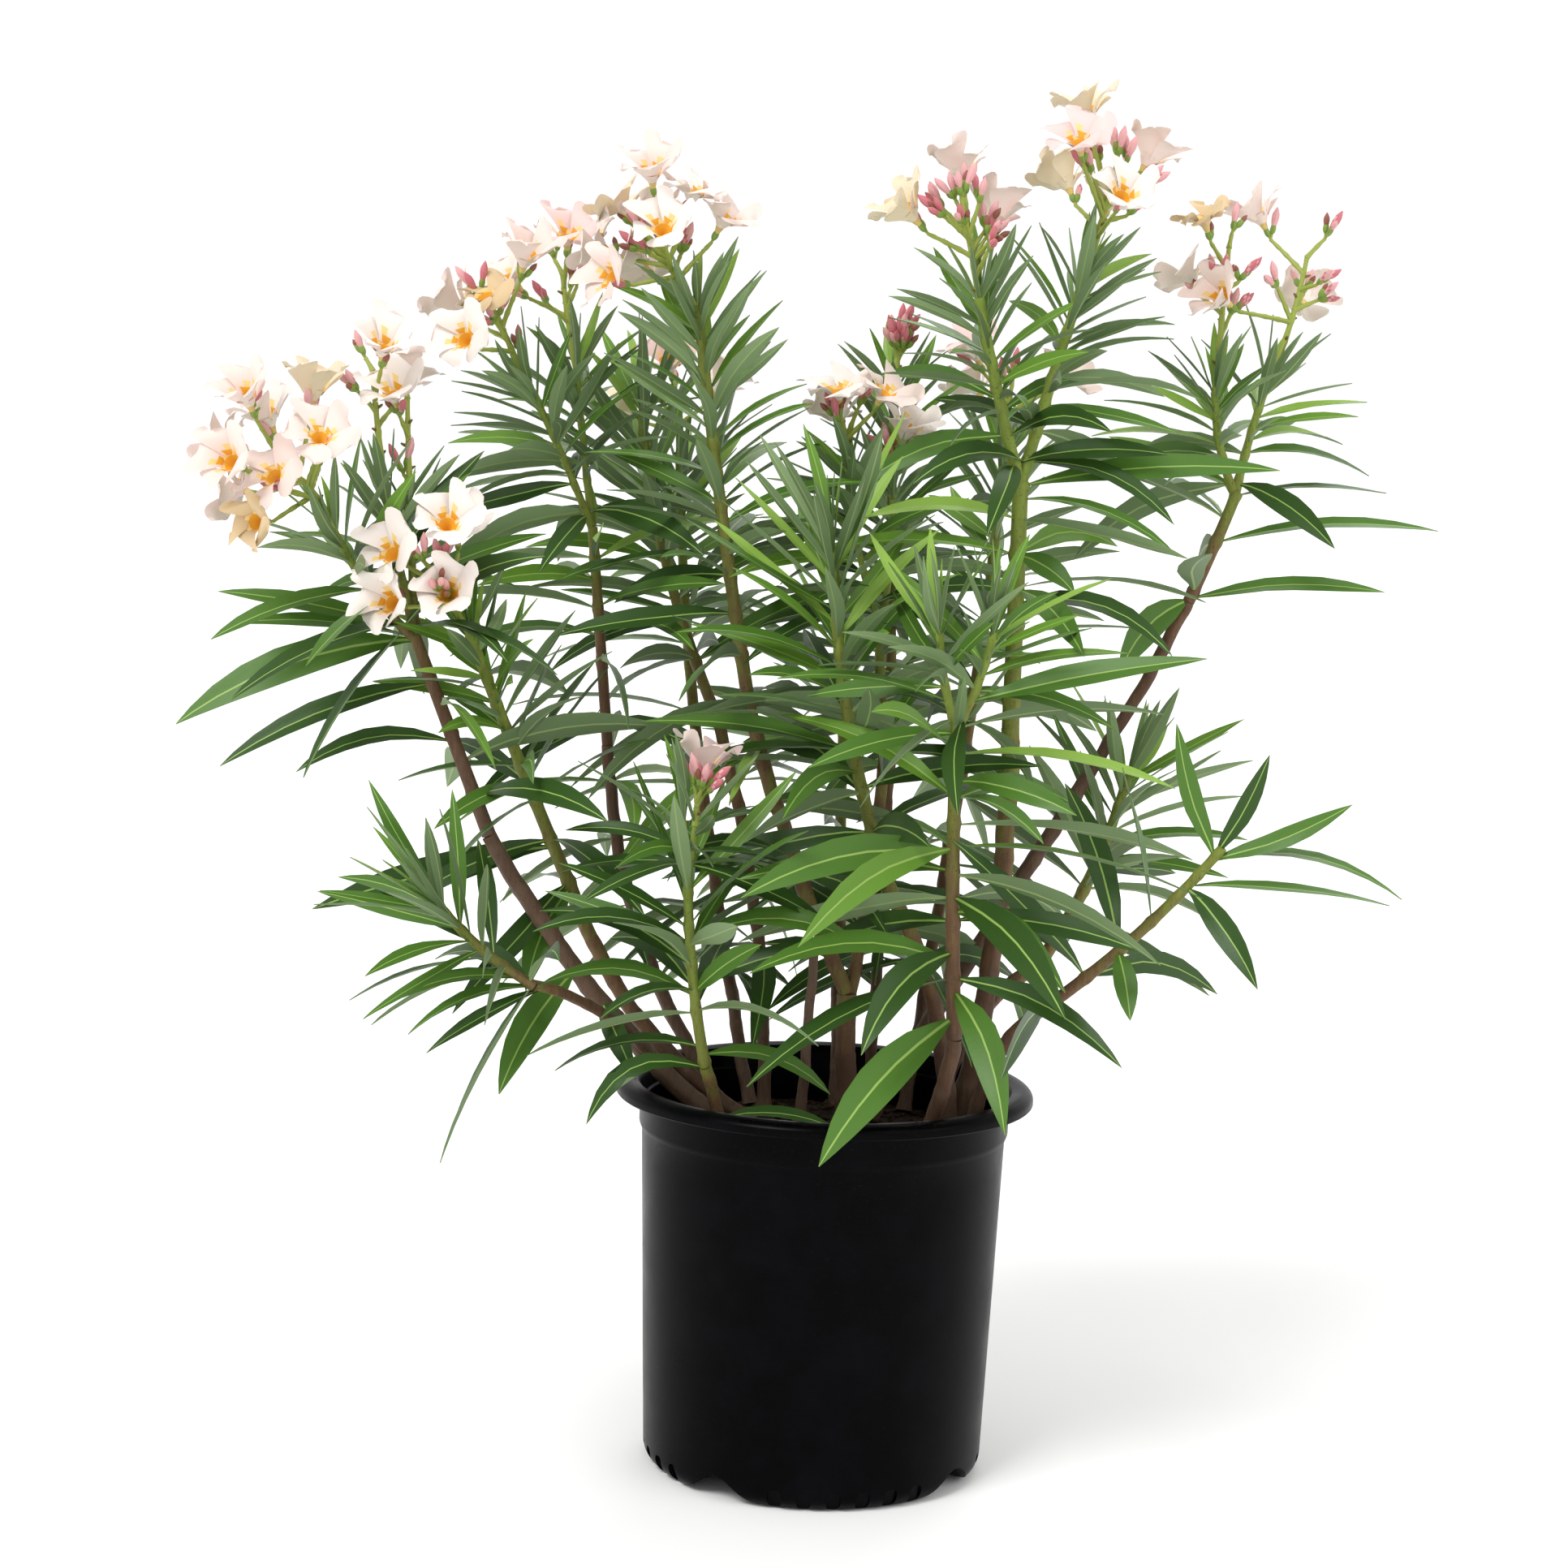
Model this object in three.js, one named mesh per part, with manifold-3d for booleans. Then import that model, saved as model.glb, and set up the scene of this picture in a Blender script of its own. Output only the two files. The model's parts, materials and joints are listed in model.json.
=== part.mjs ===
// A flowering oleander grown as a many-stemmed shrub in a round black nursery pot.
// Millimetres, +Z up. The origin is the middle of the pot's flat underside.
// The pot and its soil, every cane and bough, and every leafy flowering head is a mesh of its own.

import * as THREE from 'three';
import { mergeVertices } from 'three/addons/utils/BufferGeometryUtils.js';
import Module from 'manifold-3d';

const wasm = await Module();
wasm.setup();

// ---------------------------------------------------------------- driving dimensions

const CLEARANCE = 0.3;
const MERGE_DISTANCE = 1e-3;
const POT_SEGMENTS = 32;

const POT = {
  height: 261,
  rimRadius: 140,
  rimRound: 3,
  skirtHeight: 11,
  skirtThickness: 2.6,
  topThickness: 4,
  collarRadius: 124,
  collarFoot: 232,
  bodyTopRadius: 122,
  bodyTop: 227,
  footRadius: 114.5,
  footRound: 12,
  wall: 3,
  floor: 4,
  mouthRadius: 123,
  innerLedge: 245,
  ledgeRise: 2,
  innerTopRadius: 118.5,
  innerFootRadius: 109.5,
  innerCorner: { rise: 10, run: 8 },
};

// The potting mix has a low mound with a shoulder beside the pot's wall.
const SOIL = { top: 225, shoulder: 4, moundRadius: 104 };

// Four arched drain notches in the foot, between the feet the pot stands on.
const NOTCH = { angles: [57, 147, 237, 327], width: 42, height: 11, reach: 16, spring: 0.7, below: 1 };

const LIMB_SIDES = 6;
const LIMB_STEP = 60;
const STEM_SIDES = 4;
const TWIG_SIDES = 3;
const TWIG_STEP = 75;
const TIP_GROWTH = 4;
const ROOT_FLARE = { swell: 0.45, height: 14 };

// Leaf shape: the widest place along the blade, its width for its length, and its thickness.
const LEAF = { widest: 0.48, width: 0.2, thickness: 1 / 70, neck: 0.12, sunk: 1.5, roll: 60 };
const LEAVES_IN_WHORL = 3;
const WHORL_TURN = 60;

// A run of leaves up a stem, from its lowest whorl to its highest.
const FOLIAGE = {
  from: 0.12,
  gap: [34, 14],
  leaf: [145, 95],
  pitch: [86, 34],
  sag: [0.75, 0.1],
};

const FLOWER = { petals: 5, radius: 25, notch: 10, height: 19, notchHeight: 13, throat: 8 };
const BUD = { length: 19, radius: 3.1, widest: 0.4 };
const STALK = { foot: 2.4, tip: 1.6, pedicel: 1.1, joint: 3, sunk: 0.6 };
// The share of a flower stalk, down from its tip, that carries flowers and buds.
const SPRAY_DEPTH = 0.6;
// A fork's radius at its foot and tip, as shares of the radius of the stem it leaves.
const FORK_TAPER = [0.8, 0.6];
const GOLDEN_TURN = 137.5;

// Canes stand on the soil at foot. Boughs leave another limb at its tip, or part of the way along.
// heading is the way a limb leans, in degrees about +Z from +X, and lean is its angle from
// upright at its foot and at its tip.
const LIMBS = [
  { name: 'cane_left', foot: [-68, 0], heading: 189, lean: [49, 30], length: 255, radius: [8, 5] },
  { name: 'cane_front_left', foot: [-66, -58], heading: 229, lean: [6, 30], length: 60, radius: [4.6, 4] },
  { name: 'cane_low_left', foot: [-48, 20], heading: 177, lean: [60, 20], length: 203, radius: [6.5, 4.8] },
  { name: 'cane_tall_left', foot: [-68, 55], heading: 168, lean: [37, 4], length: 269, radius: [7, 4] },
  { name: 'cane_snag', foot: [-18, -28], heading: 301, lean: [11, 1], length: 138, radius: [4.2, 3] },
  { name: 'cane_centre', foot: [14, 0], heading: 180, lean: [0, 2], length: 95, radius: [8, 6.6] },
  { name: 'cane_inner_right', foot: [84, 18], heading: 201, lean: [1, 32], length: 179, radius: [7, 4.8] },
  { name: 'cane_front_right', foot: [64, -58], heading: 304, lean: [30, 12], length: 90, radius: [6, 5] },
  { name: 'cane_tall_right', foot: [92, 38], heading: 3, lean: [12, -2], length: 276, radius: [8, 6.2] },
  { name: 'cane_far_right', foot: [30, 42], heading: 26, lean: [34, 35], length: 286, radius: [7, 5] },
  { name: 'cane_back_low_right', foot: [80, 64], heading: 22, lean: [6, 62], length: 132, radius: [6, 5] },
  { name: 'cane_low_right', foot: [98, -16], heading: 318, lean: [4, 52], length: 112, radius: [5.5, 4.4] },
  { name: 'cane_inner_left', foot: [-42, 62], heading: 145, lean: [0, 22], length: 277, radius: [6, 4.2] },
  { name: 'cane_inner_back', foot: [32, 86], heading: 60, lean: [0, 5], length: 260, radius: [5.5, 4] },
  { name: 'cane_back_left', foot: [-52, 78], heading: 122, lean: [24, 18], length: 235, radius: [6, 4.4] },
  { name: 'cane_back_right', foot: [56, 76], heading: 66, lean: [20, 18], length: 255, radius: [6, 4.4] },
  { name: 'cane_back', foot: [8, 76], heading: 92, lean: [28, 34], length: 160, radius: [6, 4.6] },
  { name: 'bough_low_left', from: 'cane_left', at: 0.24, heading: 225, lean: [42, 76], length: 130,
    radius: [4.2, 3.4] },
  { name: 'bough_centre', from: 'cane_centre', at: 1, heading: 164, lean: [27, 17], length: 200,
    radius: [6, 4.8] },
  { name: 'bough_middle', from: 'cane_centre', at: 0.9, heading: 60, lean: [22, 4], length: 170,
    radius: [5, 4] },
  { name: 'bough_far_right', from: 'cane_far_right', at: 1, heading: 9, lean: [31, 25], length: 140,
    radius: [4.9, 4.4] },
];

// Each head grows on from a limb's tip. It has leaves up its own stem, forks at the stem's tip
// and ends, on each fork, in young leaves or in a spray of flowers and buds.
const HEADS = [
  { name: 'head_left', on: 'cane_left', seed: 11, heading: 180, lean: [22, 22], length: 140,
    radius: [4.9, 4], phase: 20,
    foliage: { from: 0.2, gap: [44, 34], leaf: [158, 158], pitch: [84, 76], sag: [0.9, 0.7] },
    forks: [
      { heading: 200, lean: [50, 26], length: 92, foliage: { gap: [24, 15], leaf: [138, 105] },
        stalk: { heading: 190, lean: [20, 60], length: 58 },
        spray: { flowers: 8, buds: 1, reach: 42, spread: 86 } },
      { heading: 152, lean: [19, 13], length: 90, foliage: { gap: [26, 15], leaf: [132, 95] },
        stalk: { heading: 160, lean: [12, 6], length: 92 },
        spray: { flowers: 2, buds: 1, reach: 26, spread: 60 } },
      { heading: 112, lean: [22, 8], length: 80, foliage: { gap: [28, 16], leaf: [130, 95] },
        stalk: { heading: 120, lean: [10, 6], length: 84 },
        spray: { flowers: 1, buds: 1, reach: 22, spread: 50 } },
    ] },
  { name: 'head_front_left', on: 'cane_front_left', seed: 12, heading: 226, lean: [16, 2], length: 135,
    radius: [3.8, 3], phase: 35, foliage: { from: 0.02, gap: [36, 16], leaf: [140, 100] },
    forks: [
      { heading: 300, lean: [24, 4], length: 34, foliage: { gap: [20, 14], leaf: [95, 70] },
        stalk: { heading: 300, lean: [6, 4], length: 16 },
        spray: { flowers: 1, buds: 1, reach: 20, spread: 50 } },
      { heading: 170, lean: [10, 0], length: 32, foliage: { gap: [18, 14], leaf: [95, 70] } },
    ] },
  { name: 'head_low_left', on: 'cane_low_left', seed: 13, heading: 222, lean: [28, 26], length: 200,
    radius: [4.7, 3.4], phase: 14, foliage: { from: 0.04, gap: [34, 14], leaf: [142, 92] },
    stalk: { heading: 230, lean: [40, 34], length: 50 },
    spray: { flowers: 4, buds: 2, reach: 32, spread: 62 } },
  { name: 'head_tall_left', on: 'cane_tall_left', seed: 14, heading: 163, lean: [6, 6], length: 150,
    radius: [3.9, 3.5], phase: 47,
    foliage: { from: 0.1, gap: [42, 28], leaf: [125, 138], pitch: [88, 72], sag: [0.9, 0.4] },
    forks: [
      { heading: 203, lean: [23, 30], length: 104, foliage: { gap: [22, 13], leaf: [125, 88] },
        stalk: { heading: 203, lean: [30, 24], length: 60 },
        spray: { flowers: 3, buds: 1, reach: 34, spread: 70 } },
      { heading: 130, lean: [14, 12], length: 116, foliage: { gap: [22, 13], leaf: [125, 88] },
        stalk: { heading: 160, lean: [14, 8], length: 66 },
        spray: { flowers: 2, buds: 2, reach: 30, spread: 60 } },
    ] },
  { name: 'head_ground_left', on: 'bough_low_left', seed: 15, heading: 204, lean: [60, 40], length: 85,
    radius: [3.3, 2.8], phase: 10,
    foliage: { from: 0.02, gap: [22, 14], leaf: [120, 90], pitch: [72, 26], sag: [0.8, 0.1] } },
  { name: 'head_centre', on: 'bough_centre', seed: 16, heading: 174, lean: [11, 8], length: 272,
    radius: [4.7, 3.4], phase: 25, foliage: { from: 0.03, gap: [30, 12], leaf: [145, 98] },
    stalk: { heading: 188, lean: [40, 28], length: 46 },
    spray: { flowers: 8, buds: 3, reach: 40, spread: 78 } },
  { name: 'head_inner_right', on: 'cane_inner_right', seed: 17, heading: 222, lean: [26, 4], length: 235,
    radius: [4.7, 3.2], phase: 5, foliage: { from: 0.02, gap: [34, 12], leaf: [148, 95] } },
  { name: 'head_front_right', on: 'cane_front_right', seed: 18, heading: 241, lean: [8, 1], length: 205,
    radius: [4.9, 3.8], phase: 15,
    foliage: { from: 0.03, gap: [36, 28], leaf: [158, 150], pitch: [98, 72], sag: [0.7, 0.4] },
    forks: [
      { heading: 200, lean: [22, 4], length: 62, foliage: { gap: [20, 12], leaf: [112, 76] } },
      { heading: 345, lean: [28, 10], length: 66, foliage: { gap: [20, 12], leaf: [112, 76] } },
    ] },
  { name: 'head_tall_right', on: 'cane_tall_right', seed: 19, heading: 263, lean: [3, 4], length: 166,
    radius: [6, 5.2], phase: 40,
    foliage: { from: 0.12, gap: [50, 42], leaf: [130, 158], pitch: [90, 80], sag: [0.8, 0.3] },
    forks: [
      { heading: 207, lean: [20, 14], length: 128, foliage: { gap: [19, 12], leaf: [122, 90] },
        stalk: { heading: 190, lean: [14, 10], length: 48 },
        spray: { flowers: 3, buds: 5, reach: 38, spread: 62 } },
      { heading: 14, lean: [14, 17], length: 146, foliage: { gap: [20, 12], leaf: [125, 90] },
        stalk: { heading: 20, lean: [16, 12], length: 62 },
        spray: { flowers: 5, buds: 3, reach: 40, spread: 68 } },
    ] },
  { name: 'head_far_right', on: 'bough_far_right', seed: 20, heading: 12, lean: [24, 20], length: 84,
    radius: [4.3, 4], phase: 10,
    foliage: { from: 0.1, gap: [38, 34], leaf: [158, 158], pitch: [84, 80], sag: [0.3, 0.3] },
    forks: [
      { heading: 180, lean: [26, 2], length: 74, foliage: { gap: [19, 12], leaf: [118, 88] },
        stalk: { heading: 60, lean: [4, 8], length: 104 },
        spray: { flowers: 2, buds: 2, reach: 30, spread: 60 } },
      { heading: 23, lean: [10, 20], length: 80, foliage: { gap: [20, 12], leaf: [118, 88] },
        stalk: { heading: 10, lean: [22, 8], length: 96 },
        spray: { flowers: 3, buds: 2, reach: 40, spread: 100 } },
    ] },
  { name: 'head_back_low_right', on: 'cane_back_low_right', seed: 21, heading: 26, lean: [38, 14],
    length: 150, radius: [4.8, 3.2], phase: 0, foliage: { from: 0.03, gap: [30, 14], leaf: [132, 90] } },
  { name: 'head_low_right', on: 'cane_low_right', seed: 22, heading: 336, lean: [52, 38], length: 170,
    radius: [4.2, 3], phase: 30,
    foliage: { from: 0.04, gap: [36, 15], leaf: [148, 98], pitch: [82, 32], sag: [0.7, 0.1] } },
  { name: 'head_inner_left', on: 'cane_inner_left', seed: 23, heading: 154, lean: [28, 8], length: 220,
    radius: [4.1, 3], phase: 20, foliage: { from: 0.03, gap: [34, 14], leaf: [130, 92] } },
  { name: 'head_inner_back', on: 'cane_inner_back', seed: 24, heading: 160, lean: [4, 0], length: 250,
    radius: [3.9, 3], phase: 45, foliage: { from: 0.03, gap: [38, 17], leaf: [128, 88] },
    stalk: { heading: 30, lean: [4, 6], length: 26 },
    spray: { flowers: 0, buds: 3, reach: 16, spread: 40 } },
  { name: 'head_middle', on: 'bough_middle', seed: 31, heading: 130, lean: [10, 2], length: 95,
    radius: [3.9, 3.2], phase: 10,
    foliage: { from: 0.05, gap: [34, 26], leaf: [125, 125], pitch: [84, 70], sag: [0.7, 0.4] },
    forks: [
      { heading: 190, lean: [24, 4], length: 104, foliage: { gap: [21, 13], leaf: [108, 84] },
        stalk: { heading: 190, lean: [10, 6], length: 30 },
        spray: { flowers: 2, buds: 1, reach: 30, spread: 70 } },
      { heading: 20, lean: [12, -6], length: 88, foliage: { gap: [21, 13], leaf: [108, 84] },
        stalk: { heading: 200, lean: [6, 4], length: 26 },
        spray: { flowers: 1, buds: 1, reach: 16, spread: 30 } },
    ] },
  { name: 'head_back_left', on: 'cane_back_left', seed: 26, heading: 122, lean: [18, 6], length: 230,
    radius: [4.3, 3], phase: 15, foliage: { from: 0.03, gap: [40, 18], leaf: [148, 98] },
    stalk: { heading: 122, lean: [8, 6], length: 40 },
    spray: { flowers: 3, buds: 1, reach: 36, spread: 70 } },
  { name: 'head_back_right', on: 'cane_back_right', seed: 27, heading: 60, lean: [16, 6], length: 225,
    radius: [4.3, 3], phase: 55, foliage: { from: 0.03, gap: [40, 18], leaf: [148, 98] },
    stalk: { heading: 60, lean: [8, 6], length: 40 },
    spray: { flowers: 3, buds: 1, reach: 36, spread: 70 } },
  { name: 'head_back', on: 'cane_back', seed: 28, heading: 92, lean: [34, 12], length: 200,
    radius: [4.5, 3], phase: 5, foliage: { from: 0.02, gap: [36, 16], leaf: [150, 98] } },
];

// ---------------------------------------------------------------- colours and finishes

const FINISH = {
  pot: { color: 0x15161b, roughness: 0.42, metalness: 0 },
  soil: { color: 0x3a2a1f, roughness: 0.95, metalness: 0 },
  wood: { color: 0x6d5648, roughness: 0.8, metalness: 0 },
  foliage: { color: 0x4a7a3a, roughness: 0.55, metalness: 0 },
};

// ---------------------------------------------------------------- solids

const UP = new THREE.Vector3(0, 0, 1);
const Y_AXIS = new THREE.Vector3(0, 1, 0);

// Turns a closed three.js geometry into a manifold solid.
function solid(geometry) {
  const bare = geometry.clone();
  bare.deleteAttribute('normal');
  bare.deleteAttribute('uv');
  const merged = withoutSlivers(mergeVertices(bare, MERGE_DISTANCE));
  const mesh = new wasm.Mesh({
    numProp: 3,
    vertProperties: new Float32Array(merged.attributes.position.array),
    triVerts: new Uint32Array(merged.index.array),
  });
  return new wasm.Manifold(mesh);
}

// Moves every vertex of a geometry to the place that the function gives for it.
function bend(geometry, place) {
  const position = geometry.attributes.position;
  const vertex = new THREE.Vector3();
  for (let i = 0; i < position.count; i += 1) {
    const moved = place(vertex.fromBufferAttribute(position, i));
    position.setXYZ(i, moved.x, moved.y, moved.z);
  }
  return geometry;
}

// Keeps only the largest shell, which drops loose scraps and fills sealed hollows.
function largestShell(positions, triangles) {
  const parent = Array.from({ length: positions.length / 3 }, (_, i) => i);
  const root = (i) => {
    let r = i;
    while (parent[r] !== r) {
      parent[r] = parent[parent[r]];
      r = parent[r];
    }
    return r;
  };
  for (let t = 0; t < triangles.length; t += 3) {
    parent[root(triangles[t])] = root(triangles[t + 1]);
    parent[root(triangles[t + 1])] = root(triangles[t + 2]);
  }
  const sizes = new Map();
  for (let t = 0; t < triangles.length; t += 3) {
    const shell = root(triangles[t]);
    sizes.set(shell, (sizes.get(shell) ?? 0) + 1);
  }
  const largest = [...sizes.entries()].sort((a, b) => b[1] - a[1])[0][0];
  const kept = [];
  for (let t = 0; t < triangles.length; t += 3) {
    if (root(triangles[t]) === largest) kept.push(triangles[t], triangles[t + 1], triangles[t + 2]);
  }
  return kept;
}

// Drops the triangles that merging close vertices has folded flat.
function withoutSlivers(geometry) {
  const index = geometry.index.array;
  const kept = [];
  for (let t = 0; t < index.length; t += 3) {
    const [a, b, c] = [index[t], index[t + 1], index[t + 2]];
    if (a !== b && b !== c && c !== a) kept.push(a, b, c);
  }
  geometry.setIndex(kept);
  return geometry;
}

// Turns a manifold solid back into a three.js geometry of one closed shell.
function geometryOf(manifold) {
  const mesh = manifold.getMesh();
  const positions = new Float32Array(mesh.vertProperties);
  const geometry = new THREE.BufferGeometry();
  geometry.setAttribute('position', new THREE.BufferAttribute(positions, 3));
  geometry.setIndex(largestShell(positions, mesh.triVerts));
  return withoutSlivers(mergeVertices(geometry, MERGE_DISTANCE));
}

function meshOf(name, manifold, finish) {
  const geometry = geometryOf(manifold);
  geometry.computeVertexNormals();
  const mesh = new THREE.Mesh(geometry, new THREE.MeshStandardMaterial(finish));
  mesh.name = name;
  return mesh;
}

// ---------------------------------------------------------------- chance and directions

// A number from 0 to 1 that depends only on the whole numbers given.
function chance(...keys) {
  let hash = 2166136261;
  for (const key of keys) {
    hash = Math.imul(hash ^ key, 16777619);
    hash ^= hash >>> 13;
  }
  hash = Math.imul(hash ^ (hash >>> 15), 2246822507);
  hash ^= hash >>> 13;
  return (hash >>> 0) / 4294967296;
}

const jitter = (size, ...keys) => size * (2 * chance(...keys) - 1);
const radians = THREE.MathUtils.degToRad;
const mix = THREE.MathUtils.lerp;

// A stretch of stem as an arc in one upright plane: at(t) gives its point and directions.
function arc(start, { heading, lean, length }) {
  const way = radians(heading);
  const [first, last] = lean.map(radians);
  const out = new THREE.Vector3(Math.cos(way), Math.sin(way), 0);
  const side = new THREE.Vector3(-Math.sin(way), Math.cos(way), 0);
  const turn = last - first;
  const at = (t) => {
    const angle = first + turn * t;
    const sideways = turn === 0
      ? length * t * Math.sin(first)
      : (length / turn) * (Math.cos(first) - Math.cos(angle));
    const upwards = turn === 0
      ? length * t * Math.cos(first)
      : (length / turn) * (Math.sin(angle) - Math.sin(first));
    const tangent = out.clone().multiplyScalar(Math.sin(angle)).addScaledVector(UP, Math.cos(angle));
    const point = start.clone().addScaledVector(out, sideways).addScaledVector(UP, upwards);
    return { point, tangent, side, under: side.clone().cross(tangent) };
  };
  return { at, length, tip: at(1) };
}

// ---------------------------------------------------------------- pot and soil

// A quarter of a circle about (radius, z), for a rounded edge of a lathe profile.
function quarterRound(radius, z, size, steps, fromAngle) {
  const points = [];
  for (let i = 0; i <= steps; i += 1) {
    const angle = radians(fromAngle + (90 * i) / steps);
    points.push(new THREE.Vector2(radius + size * Math.cos(angle), z + size * Math.sin(angle)));
  }
  return points;
}

// The inside of the pot, from its mouth past the ledge and down the wall to its floor.
function potInside() {
  return [
    new THREE.Vector2(POT.mouthRadius, POT.height),
    new THREE.Vector2(POT.collarRadius - POT.wall, POT.innerLedge + POT.ledgeRise),
    new THREE.Vector2(POT.bodyTopRadius - POT.wall, POT.innerLedge),
    new THREE.Vector2(POT.innerTopRadius, POT.bodyTop),
    new THREE.Vector2(POT.innerFootRadius, POT.floor + POT.innerCorner.rise),
    new THREE.Vector2(POT.innerFootRadius - POT.innerCorner.run, POT.floor),
  ];
}

// The whole wall of the pot in section, from the middle of its underside round to its floor.
function potProfile() {
  const lipFoot = POT.height - POT.skirtHeight;
  const lipUnder = POT.height - POT.topThickness;
  return [
    new THREE.Vector2(0, 0),
    ...quarterRound(POT.footRadius - POT.footRound, POT.footRound, POT.footRound, 3, -90),
    new THREE.Vector2(POT.bodyTopRadius, POT.bodyTop),
    new THREE.Vector2(POT.collarRadius, POT.collarFoot),
    new THREE.Vector2(POT.collarRadius, lipUnder),
    new THREE.Vector2(POT.rimRadius - POT.skirtThickness, lipUnder),
    new THREE.Vector2(POT.rimRadius - POT.skirtThickness, lipFoot),
    new THREE.Vector2(POT.rimRadius, lipFoot),
    ...quarterRound(POT.rimRadius - POT.rimRound, POT.height - POT.rimRound, POT.rimRound, 2, 0),
    ...potInside(),
    new THREE.Vector2(0, POT.floor),
  ];
}

// Turns a section of radius and height about the upright axis.
function turned(profile) {
  return solid(new THREE.LatheGeometry(profile, POT_SEGMENTS).rotateX(Math.PI / 2));
}

// An arched block that cuts one drain notch through the foot.
function notchCutter(angle) {
  const half = NOTCH.width / 2;
  const arch = new THREE.Shape();
  arch.moveTo(-half, -NOTCH.below);
  arch.lineTo(half, -NOTCH.below);
  arch.quadraticCurveTo(half * NOTCH.spring, NOTCH.height, 0, NOTCH.height);
  arch.quadraticCurveTo(-half * NOTCH.spring, NOTCH.height, -half, -NOTCH.below);
  const geometry = new THREE.ExtrudeGeometry(arch, {
    depth: 2 * NOTCH.reach, bevelEnabled: false, curveSegments: 4,
  });
  geometry.rotateX(Math.PI / 2);
  geometry.translate(0, POT.footRadius + NOTCH.reach, 0);
  geometry.rotateZ(radians(angle - 90));
  return solid(geometry);
}

function buildPot() {
  const notches = NOTCH.angles.map(notchCutter);
  return notches.reduce(
    (pot, notch) => pot.subtract(notch),
    turned(potProfile()),
  );
}

// The soil fills the pot to just below the collar, a clearance from the wall all round.
function buildSoil() {
  const [floorEdge, wallFoot, wallTop] = potInside().reverse();
  const edge = SOIL.top - SOIL.shoulder;
  const along = (edge - wallFoot.y) / (wallTop.y - wallFoot.y);
  return turned([
    new THREE.Vector2(0, POT.floor + CLEARANCE),
    new THREE.Vector2(floorEdge.x - 2 * CLEARANCE, POT.floor + CLEARANCE),
    new THREE.Vector2(wallFoot.x - 2 * CLEARANCE, wallFoot.y),
    new THREE.Vector2(mix(wallFoot.x, wallTop.x, along) - 2 * CLEARANCE, edge),
    new THREE.Vector2(SOIL.moundRadius, SOIL.top),
    new THREE.Vector2(0, SOIL.top),
  ]);
}

// ---------------------------------------------------------------- stems

// A closed tapering tube bent along an arc. Its foot is cut square to footNormal.
function stemGeometry(run, radiusAt, sides, steps, footNormal) {
  const tube = new THREE.CylinderGeometry(1, 1, 1, sides, steps);
  const foot = run.at(0).point;
  return bend(tube, (vertex) => {
    const t = vertex.y + 0.5;
    const { point, tangent, side, under } = run.at(t);
    const radius = radiusAt(t);
    const moved = point.clone();
    moved.addScaledVector(side, vertex.x * radius).addScaledVector(under, vertex.z * radius);
    if (!footNormal || t > 1e-6) return moved;
    const above = moved.clone().sub(foot).dot(footNormal);
    return moved.addScaledVector(tangent, -above / tangent.dot(footNormal));
  });
}

function limbSolid(limb, grow = 0) {
  const onSoil = limb.foot !== undefined;
  const radiusAt = (t) => {
    const taper = mix(limb.radius[0], limb.radius[1], t);
    const flare = onSoil ? ROOT_FLARE.swell * Math.exp((-t * limb.length) / ROOT_FLARE.height) : 0;
    return taper * (1 + flare) + grow;
  };
  const steps = Math.max(2, Math.round(limb.length / LIMB_STEP));
  const longer = { ...limb, length: limb.length + grow };
  const run = grow === 0 ? limb.run : arc(limb.start, longer);
  return solid(stemGeometry(run, radiusAt, LIMB_SIDES, steps, onSoil ? UP : undefined));
}

// Works out where each limb starts, parents before the boughs that leave them.
function placeLimbs() {
  const byName = new Map();
  for (const limb of LIMBS) {
    const parent = byName.get(limb.from);
    const start = parent
      ? parent.run.at(limb.at).point
      : new THREE.Vector3(limb.foot[0], limb.foot[1], SOIL.top + CLEARANCE);
    byName.set(limb.name, { ...limb, parent, start, run: arc(start, limb) });
  }
  return byName;
}

// A bough is cut clear of its parent and of any bough that leaves the same parent before it.
function buildLimb(limb, limbs) {
  let body = limbSolid(limb);
  if (!limb.parent) return body;
  body = body.subtract(limbSolid(limb.parent, CLEARANCE));
  for (const other of limbs.values()) {
    if (other.name === limb.name) break;
    if (other.parent === limb.parent) body = body.subtract(limbSolid(other, CLEARANCE));
  }
  return body;
}

// ---------------------------------------------------------------- leaves and flowers

// A leaf rises from its stem at a pitch and bends down by its sag. It has a flat face and a keel.
function leafSolid(leaf, margin = 0, from = 0) {
  const { root, direction, face, length, width } = leaf;
  const drooped = direction.clone().addScaledVector(UP, -leaf.sag).normalize();
  const elbow = root.clone().addScaledVector(direction, length / 2);
  const tip = elbow.clone().addScaledVector(drooped, length / 2 + TIP_GROWTH * margin);
  const blade = (t) => {
    const first = root.clone().lerp(elbow, t);
    return first.lerp(elbow.clone().lerp(tip, t), t);
  };
  const across = face.clone().cross(direction).normalize();
  const stations = [
    { centre: blade(from), width: 0, keel: 0 },
    { centre: blade(LEAF.widest), width: width + 2 * margin, keel: length * LEAF.thickness + 2 * margin },
    { centre: tip, width: 0, keel: 0 },
  ];
  const cone = new THREE.ConeGeometry(1, 1, 3, 2);
  const edge = Math.sin(Math.PI / 3);
  return solid(bend(cone, (vertex) => {
    const station = stations[Math.round(2 * (vertex.y + 0.5))];
    const down = (station.keel * (vertex.z + 0.5)) / 1.5 - (station.keel > 0 ? margin : 0);
    return station.centre.clone()
      .addScaledVector(across, (vertex.x / edge) * (station.width / 2))
      .addScaledVector(face, -down);
  }));
}

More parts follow.
